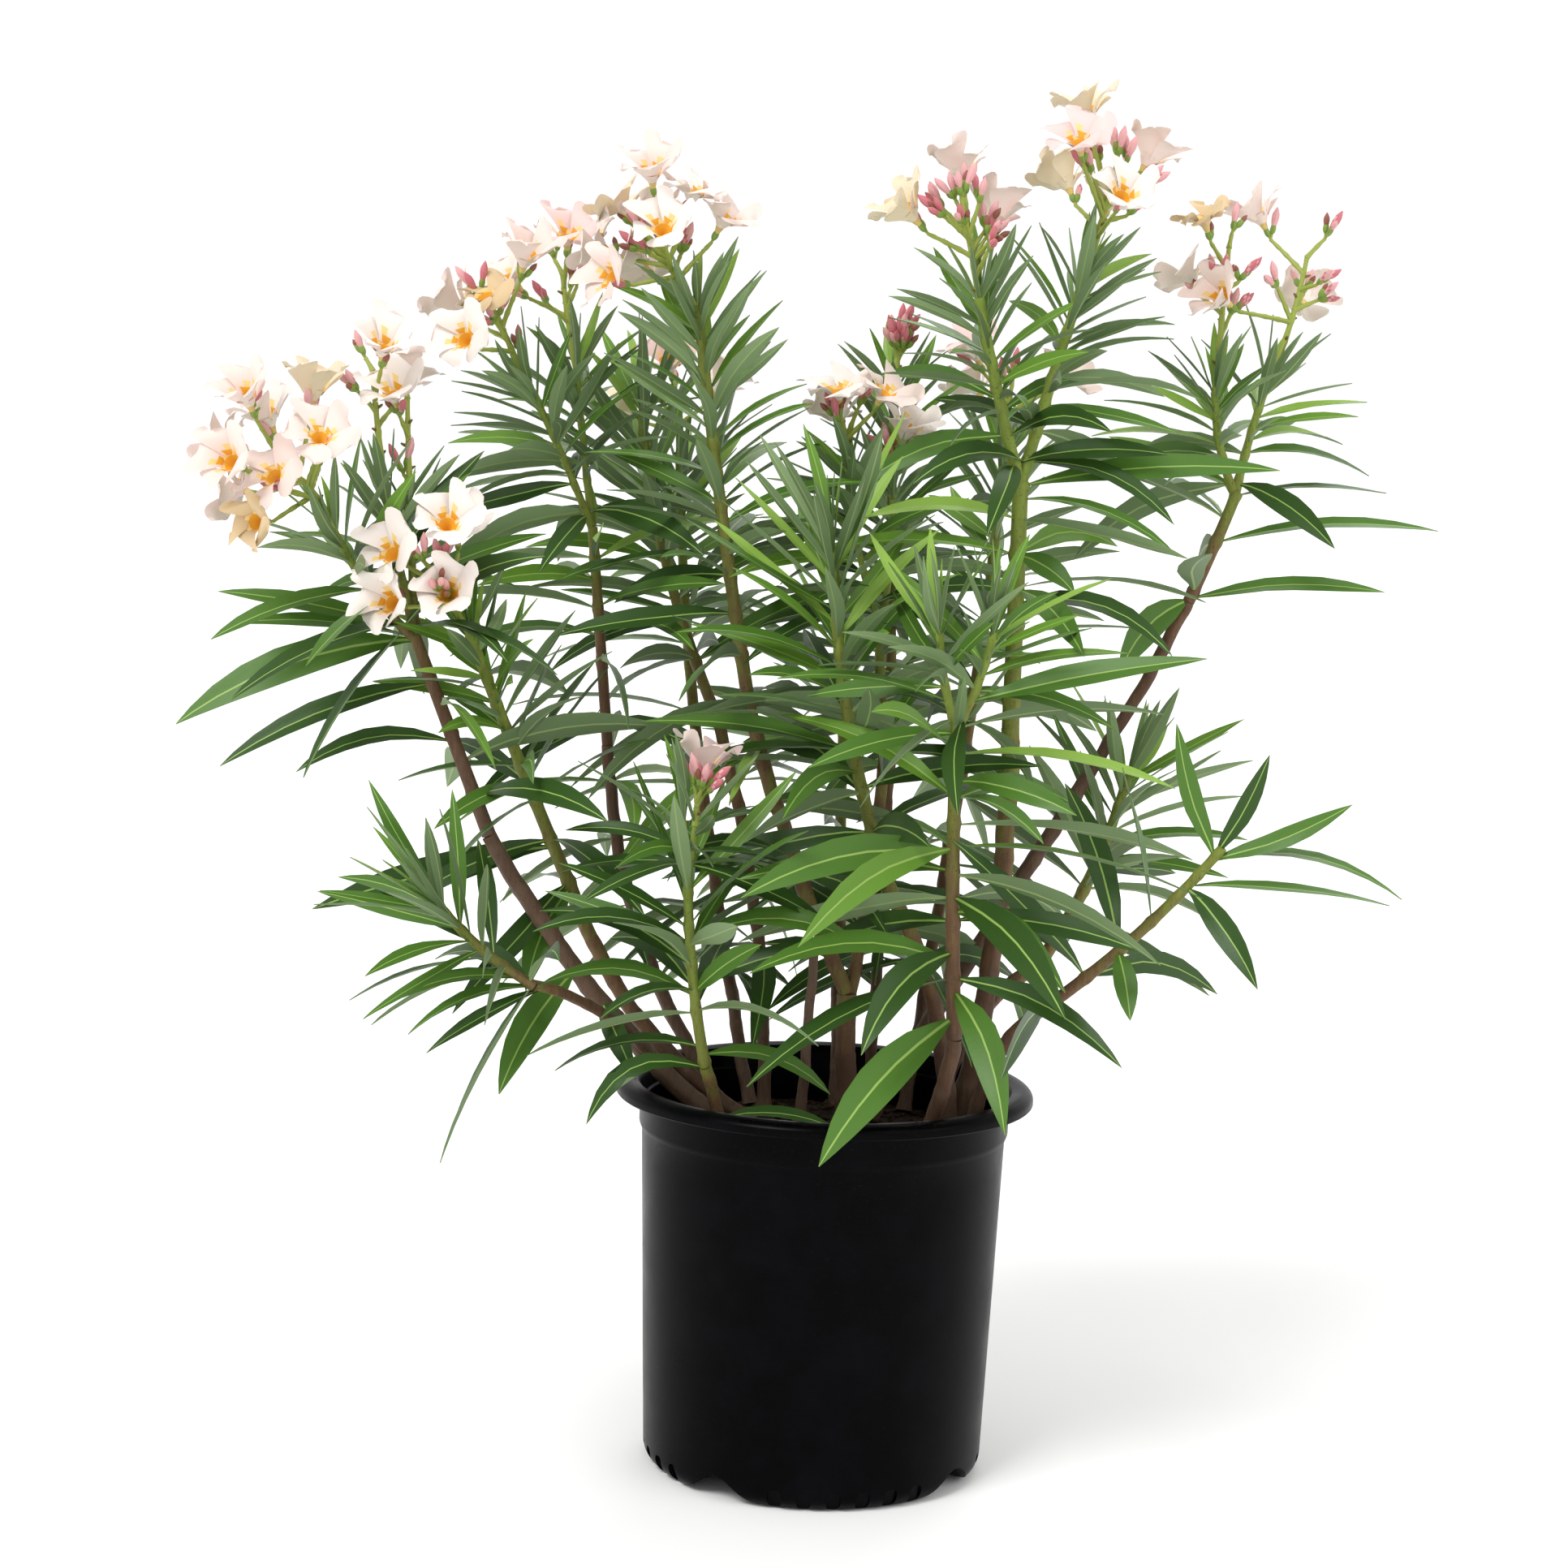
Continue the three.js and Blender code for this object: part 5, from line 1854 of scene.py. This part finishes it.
    def place(self) -> None:
        """Keeps the leaves that stay clear, turning a leaf a little before leaving it out."""
        places = self.keep_off()
        tree = KDTree(len(places))
        for i, (point, _, _) in enumerate(places):
            tree.insert(point, i)
        tree.balance()
        cells: dict[Keys, list[int]] = {}
        strips: list[BVHTree] = []
        aimed: list[tuple[int, Blade]] = []
        tried = 0
        for own, run, first in self.candidates():
            if OWN_KEY <= first.keys[0] < TIP_KEY:
                aimed.append((own, first))
            elif self.gives_way(own, first, aimed):
                continue
            tried += 1
            axis = run.at(0.5).tangent
            for turn, tilt in TRIES:
                blade = first.turned(axis, turn) if turn else first
                if tilt:
                    blade = blade.turned(blade.direction.cross(axis).normalized(), tilt)
                if self.hangs_over_pot(blade) or not self.clear_of_stems(blade, own, tree, places):
                    continue
                strip, near = self.strip(blade), self.cells_of(blade)
                others = {i for cell in near for i in cells.get(cell, ())}
                if any(strip.overlap(strips[i]) for i in others):
                    continue
                for cell in near:
                    cells.setdefault(cell, []).append(len(strips))
                strips.append(strip)
                self.kept.append(blade)
                break
        LOG.info("leaves kept %d, left out %d", len(self.kept), tried - len(self.kept))

    def rings(self, blade: Blade) -> np.ndarray:
        """One leaf's mesh: ten rings with a crease, a twist, a sickle bend and a slight wave.

        Args:
            blade: the leaf.

        Returns:
            The rings.
        """
        keys = blade.keys
        crease = math.radians(mix(*self.crease, chance(*keys, 21)))
        twist = math.radians(jitter(self.twist, *keys, 22))
        sickle = jitter(self.sickle, *keys, 23) * blade.length
        phase = math.tau * chance(*keys, 24)
        curl = jitter(0.5, *keys, 25)
        rib = max(0.25, self.rib_width * blade.width)
        found = []
        for t, wide in LEAF_OUTLINE:
            point = blade.midrib(t)
            ahead = blade.midrib(min(1.0, t + 0.02)) - blade.midrib(max(0.0, t - 0.02))
            ahead.normalize()
            face = (blade.face - ahead * blade.face.dot(ahead)).normalized()
            face = Matrix.Rotation(twist * t, 3, ahead) @ face
            across = face.cross(ahead)
            point = point + across * (sickle * math.sin(math.pi * t) * min(1.0, t * 3))
            half = blade.width / 2 * wide * (1 - 0.28 * blade.climb)
            wave = self.wave * blade.width * math.sin(phase + 7.5 * t) * wide * curl
            fold = crease * (1 - 0.35 * t) * (1 if t > 0.05 else 0.4)
            reach, rise = half * math.cos(fold), half * math.sin(fold)
            thick = self.thickness * (1.0 if wide > 0.3 else 0.8)
            width = min(rib * (1.25 - 0.7 * t), half * 0.5)
            left = across * -reach + face * (rise + wave)
            right = across * reach + face * (rise - wave)
            web = face * (0.25 * thick + 0.02 * half)
            top = face * (0.35 * thick)
            under = face * (thick * (1.5 if t < 0.05 else 1.0))
            found.append([
                point + left, point + left * 0.5 + web, point - across * width + top,
                point + across * width + top, point + right * 0.5 + web, point + right,
                point + across * (width * 1.3) - under, point - across * (width * 1.3) - under,
            ])
        return np.array(found)

    @staticmethod
    def age(blade: Blade) -> LeafAgeAndShade:
        """How old a leaf looks, from its height up its stem and chance; low leaves get painted shade.

        Args:
            blade: the leaf.

        Returns:
            Its tone of age and painted shade.
        """
        draw = chance(*blade.keys, 31)
        if blade.keys[0] >= TIP_KEY:
            return LeafAgeAndShade.YOUNG if draw < 0.6 else LeafAgeAndShade.FRESH
        # Leaves low on the plant are darkened: painted shade, where the lower leaves lie in shadow.
        low = 0.0 if blade.keys[0] >= OWN_KEY else 2.0 * max(0.0, 0.52 - blade.root.z * MM)
        score = 1 - blade.climb + 0.5 * (draw - 0.5) + low
        if score < 0.08:
            return LeafAgeAndShade.YOUNG
        if score < 0.38:
            return LeafAgeAndShade.FRESH
        return LeafAgeAndShade.MATURE if score < 0.72 else LeafAgeAndShade.DEEP

    def build(self) -> None:
        """Models and dresses every leaf, in a left, a middle and a right piece."""
        self.place()
        ages_and_shades = list(LeafAgeAndShade)
        skins = [
            *(Cuticle(f"oleander_leaf_{age.name.lower()}", age.value, 0.42, 0.33) for age in ages_and_shades),
            Cuticle("oleander_leaf_underside_0", "#6b8158", 0.6, 0.25),
            Cuticle("oleander_leaf_underside_1", "#7d9468", 0.6, 0.25),
            Cuticle("oleander_leaf_midrib", "#8fae56", 0.45, 0.35),
            Cuticle("oleander_leaf_midrib_underside", "#93a96c", 0.5, 0.3),
        ]
        materials = [skin.material() for skin in skins]
        bags = {side: MeshBag(f"leaves_{side}", materials) for side in ("left", "middle", "right")}
        for blade in self.kept:
            tone = ages_and_shades.index(self.age(blade))
            under = PALER_UNDER if chance(*blade.keys, 32) > 0.5 else PALE_UNDER
            sides = np.array([tone, tone, RIB, tone, tone, under, RIB_UNDER, under])
            x = blade.midrib(0.5).x
            side = "left" if x < self.split[0] else "right" if x > self.split[1] else "middle"
            bags[side].loft(self.rings(blade), sides)
        for bag in bags.values():
            settle(bag.finish(34), sorted(head.name for head in self.plant.heads))


# ---------------------------------------------------------------- blossom


class PetalTone(Enum):
    """The petals' tones, from a fresh flower to a faded one."""

    WHITE = "#efe5dd"
    BLUSH = "#efdad1"
    PINK = "#edcfca"
    CREAM = "#e9d9bb"
    FADED = "#d8bd92"


# The other blossom skins' numbers, after those of the five petal tones.
BACK, THROAT, STREAK, TUBE, ROSE, PALE_BUD, CALYX, STALK, NODE, SMALL_BUD = range(5, 15)
# The least second key of a bud in a group. Single buds have less.
GROUP_KEY = 900


def spin_rings(
    root: Vector, direction: Vector, profile: Sequence[Pair], sides: int
) -> np.ndarray:
    """Rings about a line, for a funnel, bud or calyx.

    Args:
        root: where the line starts.
        direction: which way it runs.
        profile: radius and distance along of each ring.
        sides: points in a ring.

    Returns:
        The rings.
    """
    across, beside = (np.array(v) for v in turned_frame(direction))
    angles = ring_angles(sides)
    way = np.cos(angles)[:, None] * across + np.sin(angles)[:, None] * beside
    start, line = np.array(root), np.array(direction)
    return np.array([start + line * height + way * radius for radius, height in profile])


def tube_rings(path: Sequence[Vector], radii: Sequence[float], sides: int) -> np.ndarray:
    """Rings along a bent line.

    Args:
        path: the line's points.
        radii: the radius at each.
        sides: points in a ring.

    Returns:
        The rings.
    """
    across, _ = turned_frame((path[-1] - path[0]).normalized())
    found = []
    for i, (point, radius) in enumerate(zip(path, radii)):
        ahead = (path[min(i + 1, len(path) - 1)] - path[max(i - 1, 0)]).normalized()
        first = (across - ahead * across.dot(ahead)).normalized()
        second = first.cross(ahead)
        found.append([
            point + first * (math.cos(a) * radius) + second * (math.sin(a) * radius)
            for a in ring_angles(sides)
        ])
    return np.array(found)


@dataclass
class Blossom:
    """The flowers, buds, stalks and calyces at the stem tips."""

    plant: Plant
    petal_length: float = 23.0
    mouth_height: float = 14.5
    outer_height: float = 19.0
    skew: float = 3.4
    flower_room: float = 24.0
    bud_length: float = 19.0
    pedicel: float = 4.5
    lift: float = 0.4
    sunward: float = 0.35
    # By a stem's seed: how far its flowers turn to the light, a factor that is less for whiter
    # flowers, and how many more flowers and buds it carries than the solids do.
    facing_light: dict[int, float] = field(default_factory=lambda: {13: 1.5})
    whiter: dict[int, float] = field(default_factory=lambda: {13: 0.3})
    fuller: dict[int, tuple[int, int]] = field(default_factory=lambda: {
        1100: (2, 2), 16: (3, 3), 1900: (0, 6), 1901: (1, 5), 2000: (0, 3), 2001: (0, 3),
        1400: (1, 2), 1401: (0, 2), 13: (1, 3), 24: (0, 5), 1200: (0, 2), 3100: (1, 2),
    })
    petal_outline: tuple[Pair, ...] = (
        (0.0, 3.8), (0.14, 6.2), (0.32, 9.2), (0.52, 12.0), (0.70, 13.4), (0.84, 13.0),
        (0.94, 10.6), (0.99, 7.0), (1.01, 3.0),
    )
    # Radius and distance along: of the funnel, up its outside and down its inside, of a bud, in
    # shares of its length, of a calyx and of a stalk's nub.
    funnel: tuple[Pair, ...] = (
        (1.2, -0.4), (1.9, 4.0), (2.9, 8.0), (6.4, 13.2), (7.4, 14.8), (5.4, 12.8), (2.2, 7.0),
        (0.7, 5.0),
    )
    bud: tuple[Pair, ...] = (
        (1.0, 0.0), (1.5, 0.16), (2.1, 0.36), (2.5, 0.54), (2.3, 0.72), (1.2, 0.89), (0.3, 1.0),
    )
    calyx: tuple[Pair, ...] = ((1.0, -2.4), (1.9, -1.0), (2.3, 0.8), (2.0, 3.4), (1.3, 4.6))
    nub: tuple[Pair, ...] = ((1.3, 0.0), (1.0, 2.6), (0.6, 4.2))
    nub_gap: float = 15.0
    middles: list[Vector] = field(default_factory=list)

    @staticmethod
    def materials() -> list[Material]:
        """The petal, throat, bud and stalk skins, in the order of their numbers.

        Returns:
            The materials.
        """
        petals = [(f"petal_{tone.name.lower()}", tone.value, 0.55) for tone in PetalTone]
        # The backs keep the petals' own pale tone, raised a little as painted light for light shining
        # through the thin petals.
        petals.append(("petal_back", "#f2dfd7", 0.6))
        rest = (
            ("throat_orange", "#e6a834", 0.55, 0.25), ("throat_streak", "#f2d38c", 0.55, 0.25),
            ("tube", "#dcc07a", 0.55, 0.25), ("bud_rose", "#c9747d"), ("bud_blush", "#e2a9aa"),
            ("calyx", "#7f9a45"), ("flower_stalk", "#9aa64d"),
            ("stalk_node", "#7b6a3c", 0.7, 0.2), ("bud_small", "#8f5a4a"),
        )
        skins = [Cuticle(f"oleander_{name}", *look, 0.2, 1.6, 0.1, 0.3) for name, *look in petals]
        skins += [Cuticle(f"oleander_{name}", *look) for name, *look in rest]
        return [skin.material() for skin in skins]

    def petal_rings(self, site: Site, turn: float, keys: Keys, faded: bool) -> np.ndarray:
        """One petal: broad, rounded, set like a pinwheel, with a soft wavy edge.

        Args:
            site: the flower's place.
            turn: the petal's turn about the flower, in radians.
            keys: whole numbers that name it.
            faded: whether it hangs limp.

        Returns:
            The rings.
        """
        across, beside = turned_frame(site.direction)
        out = across * math.cos(turn) + beside * math.sin(turn)
        around = site.direction.cross(out)
        reach = self.petal_length * (1 + jitter(0.08, *keys, 1)) * (0.82 if faded else 1.0)
        tilt = math.radians(20 + jitter(5, *keys, 2))
        lift = jitter(3.0, *keys, 3) - (9.0 if faded else 0.0)
        phase = math.tau * chance(*keys, 4)
        cupped = 13.0 * chance(*keys[:2], 5) ** 1.3
        over = around * math.cos(tilt) + site.direction * math.sin(tilt)
        face = out.cross(over).normalized()
        found = []
        for u, half in self.petal_outline:
            radius = mix(5.2, reach - 0.35 * cupped, u)
            height = mix(self.mouth_height - 1.2, self.outer_height + lift + cupped, u ** 0.8)
            height += 2.0 * math.sin(math.pi * u) - 6.0 * max(0.0, u - 0.72)
            middle = site.root + out * radius + around * (self.skew * u * u)
            middle += site.direction * height
            # The outer end is cut slanting, as each petal is lopsided, and its edge is ruffled.
            slant = out * (2.0 * u * u)
            top = []
            for k in (-1.0, -0.55, 0.0, 0.55, 1.0):
                ruffle = 1.5 * u * u * math.sin(phase + 5 * u + 2.6 * k) + 1.4 * u * k * k
                top.append(middle + over * (half * k) + slant * k + face * ruffle)
            found.append([*top, *(spot - face * 0.45 for spot in top[3:0:-1])])
        return np.array(found)

    def tone_of(self, keys: Keys) -> PetalTone:
        """The tone of a flower's petals.

        Args:
            keys: whole numbers that name the flower.

        Returns:
            The tone.
        """
        draw = chance(*keys, 41) * self.whiter.get(keys[0], 1.0)
        steps = ((0.97, PetalTone.FADED), (0.72, PetalTone.CREAM), (0.6, PetalTone.PINK),
                 (0.32, PetalTone.BLUSH))
        return next((tone for least, tone in steps if draw > least), PetalTone.WHITE)

    def add_flower(self, site: Site, keys: Keys, bag: MeshBag) -> None:
        """Adds one open flower.

        Args:
            site: its place.
            keys: whole numbers that name it.
            bag: takes the mesh.
        """
        tone = self.tone_of(keys)
        faded = tone is PetalTone.FADED
        number = list(PetalTone).index(tone)
        back = number if faded or tone is PetalTone.CREAM else BACK
        tones = np.array([TUBE, TUBE, number, number, STREAK, THROAT, THROAT])
        rings = spin_rings(site.root, site.direction, self.funnel, 10)
        bag.loft(rings, np.broadcast_to(tones[:, None], (7, 10)))
        spin = math.tau * chance(*keys, 42)
        for i in range(5):
            tones = np.full((8, 8), number)
            tones[:, 4:] = back
            if not faded:
                tones[0, 1:3] = THROAT
                tones[1, 1 + i % 2] = STREAK
            turn = spin + math.tau * i / 5
            bag.loft(self.petal_rings(site, turn, (*keys, 50 + i), faded), tones)
        self.add_calyx(site, bag)

    def add_bud(self, site: Site, keys: Keys, bag: MeshBag) -> None:
        """Adds one bud: a long twisted spindle of furled petals on a green calyx.

        Args:
            site: its place.
            keys: whole numbers that name it.
            bag: takes the mesh.
        """
        grown = chance(*keys, 61)
        if keys[1] < GROUP_KEY:
            grown = 0.6 + 0.4 * grown
        length = self.bud_length * mix(0.4, 1.0, grown)
        plump = mix(0.7, 1.15, grown)
        profile = [(radius * plump, share * length) for radius, share in self.bud]
        pair = (ROSE, PALE_BUD) if chance(*keys, 63) > 0.5 else (PALE_BUD, ROSE)
        tone, other = (SMALL_BUD, SMALL_BUD) if grown < 0.4 else pair
        tones = np.full((6, 8), tone)
        for step in range(6):
            tones[step, (step + 1) % 8] = other
        bag.loft(spin_rings(site.root, site.direction, profile, 8), tones)
        self.add_calyx(site, bag)

    def add_calyx(self, site: Site, bag: MeshBag) -> None:
        """Adds the green cup under a flower or bud, and the stalk that it stands on.

        Args:
            site: its place.
            bag: takes the mesh.
        """
        bag.loft(spin_rings(site.root, site.direction, self.calyx, 6), CALYX)
        length = (site.root - site.foot).length
        stalk = [(PEDICEL_RADIUS * 0.95, -0.4), (PEDICEL_RADIUS * 0.8, length * 0.5),
                 (PEDICEL_RADIUS, length - 1.4)]
        bag.loft(spin_rings(site.foot, site.direction, stalk, 6), STALK)

    def add_stalk(self, grown: GrownShoot, bag: MeshBag) -> None:
        """Adds a flower stalk with the small brown nubs that dropped flowers leave.

        Args:
            grown: the stem that carries it.
            bag: takes the mesh.
        """
        stalk = grown.stalk
        steps = max(6, round(stalk.length / 4))
        rings = []
        for t in (i / steps for i in range(steps + 1)):
            knob = 0.28 * swell((t * stalk.length) % self.nub_gap - self.nub_gap / 2, 2.0)
            rings.append(round_ring(stalk.at(t), np.full(8, mix(*STALK_RADIUS, t) * (1 + knob))))
        bag.loft(np.array(rings), STALK)
        for k in range(int(stalk.length / self.nub_gap)):
            station = stalk.at(min(0.98, self.nub_gap * (k + 0.5) / stalk.length))
            way = station.outward(math.radians(GOLDEN_TURN * k + jitter(20, grown.seed, k, 71)))
            stub = (station.tangent * 0.5 + way).normalized()
            bag.loft(spin_rings(station.point + way * 1.2, stub, self.nub, 5), NODE)

    def add_branch(self, site: Site, facing: Vector, bag: MeshBag) -> Vector:
        """Adds the knobbly branch that carries a flower, bent from its foot to its end.

        Args:
            site: the place that the rule gives.
            facing: the way that the flower faces.
            bag: takes the mesh.

        Returns:
            The branch's end, where the flower's own short stalk starts.
        """
        end = site.root - facing * self.pedicel
        length = (end - site.foot).length
        elbow = site.foot + site.direction * (length * 0.55)
        steps = max(4, round(length / 2.4))
        path, radii = [], []
        for t in (i / steps for i in range(steps + 1)):
            path.append(site.foot.lerp(elbow, t).lerp(elbow.lerp(end, t), t))
            knob = 0.5 * swell((t * length + 4) % 9.6 - 4.8, 1.6)
            radii.append(mix(1.75, 1.2, t) * (1 + 0.6 * knob))
        bag.loft(tube_rings(path, radii, 7), STALK)
        return end

    def add_bud_group(self, site: Site, count: int, keys: Keys, bag: MeshBag) -> None:
        """Adds buds of all sizes round the end of a branch.

        Args:
            site: the branch's end, and the way that it points there.
            count: how many buds.
            keys: whole numbers that name the group.
            bag: takes the mesh.
        """
        end, facing = site.foot, site.direction
        across, beside = turned_frame(facing)
        for k in range(count):
            turn = math.radians(GOLDEN_TURN * k + 360 * chance(*keys, k, 91))
            lean = math.radians(mix(24, 52, chance(*keys, k, 92)))
            out = across * math.cos(turn) + beside * math.sin(turn)
            way = (facing * math.cos(lean) + out * math.sin(lean) + UP * 0.25).normalized()
            root = end + way * mix(4.0, 9.0, chance(*keys, k, 93))
            own = (keys[0], GROUP_KEY + 10 * keys[1] + k)
            self.add_bud(Site(end, root, way, False), own, bag)

    def more_sites(self, grown: GrownShoot, count: int, is_flower: bool) -> list[Site]:
        """More flowers or bud branches on a spray that the rule leaves thin.

        Args:
            grown: the stem that carries the spray.
            count: how many.
            is_flower: whether they are flowers.

        Returns:
            The sites.
        """
        spray = grown.shoot.spray
        found = []
        for i in range(count):
            keys = (grown.seed, i, 80 + is_flower)
            station = grown.stalk.at(1 - 0.7 * chance(*keys, 1))
            outward = station.outward(math.radians(GOLDEN_TURN * i + 60))
            spread = math.radians(spray.spread * (0.2 + 0.6 * chance(*keys, 2)))
            direction = station.tangent * math.cos(spread) + outward * math.sin(spread)
            reach = spray.reach * (0.5 + 0.4 * chance(*keys, 3))
            foot = station.point - direction * STALK_SUNK
            found.append(Site(foot, foot + direction * reach, direction, is_flower))
        return found

    def has_room(self, middle: Vector, room: float) -> bool:
        """Whether no flower's middle is yet within a distance of a place."""
        return all((middle - other).length >= room for other in self.middles)

    def add_sites(self, grown: GrownShoot, blooms: MeshBag, stalks: MeshBag) -> None:
        """Adds the flowers and buds of one spray, each clear of the flowers before it.

        Args:
            grown: the stem that carries the spray.
            blooms: takes flowers and buds.
            stalks: takes the branches that carry them.
        """
        flowers, buds = self.fuller.get(grown.seed, (0, 1))
        turned = {True: self.facing_light.get(grown.seed, self.sunward), False: self.sunward}
        first = len(grown.sites)
        wanted = [
            *grown.sites, *self.more_sites(grown, flowers * 3, True),
            *self.more_sites(grown, buds, False),
        ]
        placed, added = [], 0
        for i, site in enumerate(wanted):
            keys = (grown.seed, i)
            facing = site.direction + UP * self.lift + SUNWARD * turned[site.is_flower]
            facing.normalize()
            if site.is_flower:
                extra, middle = i >= first, site.root + facing * 17
                room = self.flower_room + 4 * extra
                if (extra and added == flowers) or not self.has_room(middle, room):
                    continue
                added += extra
                self.middles.append(middle)
            end = self.add_branch(site, facing, stalks)
            moved = Site(end, site.root, facing, site.is_flower)
            draw = chance(*keys, 95)
            if site.is_flower:
                self.add_flower(moved, keys, blooms)
                self.add_bud_group(moved, int(2.6 * draw), keys, blooms)
            else:
                self.add_bud(moved, keys, blooms)
                self.add_bud_group(moved, 1 + int(2.7 * draw), keys, blooms)
            placed.append(moved)
        grown.sites = placed

    def build(self) -> None:
        """Models and dresses every spray."""
        materials = self.materials()
        blooms, stalks = MeshBag("blossom", materials), MeshBag("flower_stalks", materials)
        flowering = [grown for grown in self.plant.shoots if grown.stalk]
        for grown in flowering:
            self.add_stalk(grown, stalks)
            self.add_sites(grown, blooms, stalks)
        LOG.info("flowers: %d", len(self.middles))
        for bag in (blooms, stalks):
            settle(bag.finish(40), sorted({grown.head for grown in flowering}))


# ---------------------------------------------------------------- studio and the whole


@dataclass
class Studio:
    """Pale floor, soft lamps and the camera."""

    floor_size: float = 80.0
    camera_place: tuple[float, float, float] = (0.0, -2.0387, 0.6906)
    lens: float = 70.807
    # The camera's pitch, yaw and roll, in degrees.
    aim: tuple[float, float, float] = (6.45, 0.98, 2.11)
    ceiling: float = 0.62
    middle: tuple[float, float, float] = (0.0, 0.0, 0.5)

    def floor(self) -> None:
        """Lays the studio paper under the pot."""
        deselect_all()
        bpy.ops.mesh.primitive_plane_add(size=self.floor_size, location=(0, 0, 0))
        floor = bpy.context.active_object
        floor.name = "studio_floor"
        bpy.ops.object.transform_apply(location=True, rotation=True, scale=True)
        floor.data.materials.append(StudioPaper().material())
        floor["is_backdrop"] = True

    def world(self) -> None:
        """Fills the studio with even white light."""
        world = bpy.data.worlds.new("studio_world")
        world.use_nodes = True
        tree = world.node_tree
        tree.nodes.clear()
        way = add_node(tree, "TexCoord").outputs["Generated"]
        height = add_node(tree, "SeparateXYZ", {"Vector": way})
        # The backdrop is lit white all round, and the ceiling above it is dimmer.
        light = add_node(tree, "MapRange", {
            "Value": height.outputs["Z"], "From Min": 0.25, "From Max": 0.6, "To Min": 1.03,
            "To Max": self.ceiling})
        glow = add_node(tree, "Background", {"Color": (1.0, 1.0, 1.0, 1.0), "Strength": light})
        add_node(tree, "OutputWorld", {"Surface": glow})
        bpy.context.scene.world = world

    def lamp(self, name: str, place: Sequence[float], spread: float, power: float) -> None:
        """Adds one far, broad lamp that looks at the middle of the plant.

        Args:
            name: its name.
            place: where it stands, in metres.
            spread: how broad it looks from the plant, in degrees.
            power: the light it gives, in watts a square metre.
        """
        data = bpy.data.lights.new(name, "SUN")
        data.angle = math.radians(spread)
        data.energy = power
        lamp = bpy.data.objects.new(name, data)
        lamp.location = place
        way = Vector(self.middle) - Vector(place)
        lamp.rotation_euler = way.to_track_quat("-Z", "Y").to_euler()
        bpy.context.scene.collection.objects.link(lamp)

    def camera(self) -> None:
        """Sets the camera up, level with the lower leaves and a little turned."""
        pitch, yaw, roll = (math.radians(a) for a in self.aim)
        across = level(yaw)
        forward = Vector(
            (-math.sin(yaw) * math.cos(pitch), math.cos(yaw) * math.cos(pitch), -math.sin(pitch))
        )
        upright = across.cross(forward)
        right = across * math.cos(roll) + upright * math.sin(roll)
        top = upright * math.cos(roll) - across * math.sin(roll)
        turn = Matrix((right, top, -forward)).transposed()
        data = bpy.data.cameras.new("camera")
        data.lens = self.lens
        data.sensor_width = 36.0
        data.clip_end = 50.0
        camera = bpy.data.objects.new("camera", data)
        camera.matrix_world = Matrix.Translation(self.camera_place) @ turn.to_4x4()
        bpy.context.scene.collection.objects.link(camera)
        bpy.context.scene.camera = camera

    def build(self) -> None:
        """Sets up the floor, light and camera."""
        self.floor()
        self.world()
        self.lamp("key_lamp", (-1.2, -1.5, 2.7), 24.0, 1.7)
        self.lamp("fill_lamp", (1.6, -0.9, 1.9), 40.0, 0.55)
        self.lamp("back_lamp", (0.4, 1.6, 2.4), 30.0, 0.7)
        view = bpy.context.scene.view_settings
        view.view_transform = "Standard"
        view.look = "None"
        self.camera()


def write_size() -> None:
    """Works out the box of the solids and the box of the finished model, and does nothing more with
    them.
    """
    boxes = [[list(map(float, corner)) for corner in box] for box in (CAD_BOX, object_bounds())]


def main() -> None:
    """Builds the whole model, piece by piece."""
    logging.basicConfig(level=logging.INFO, format="%(name)s: %(message)s")
    plant = Plant()
    plant.grow()
    Pot().build()
    PottingSoil().build()
    Canes(plant).build()
    Blossom(plant).build()
    Foliage(plant).build()
    Studio().build()
    write_size()


if __name__ == "__main__":
    main()
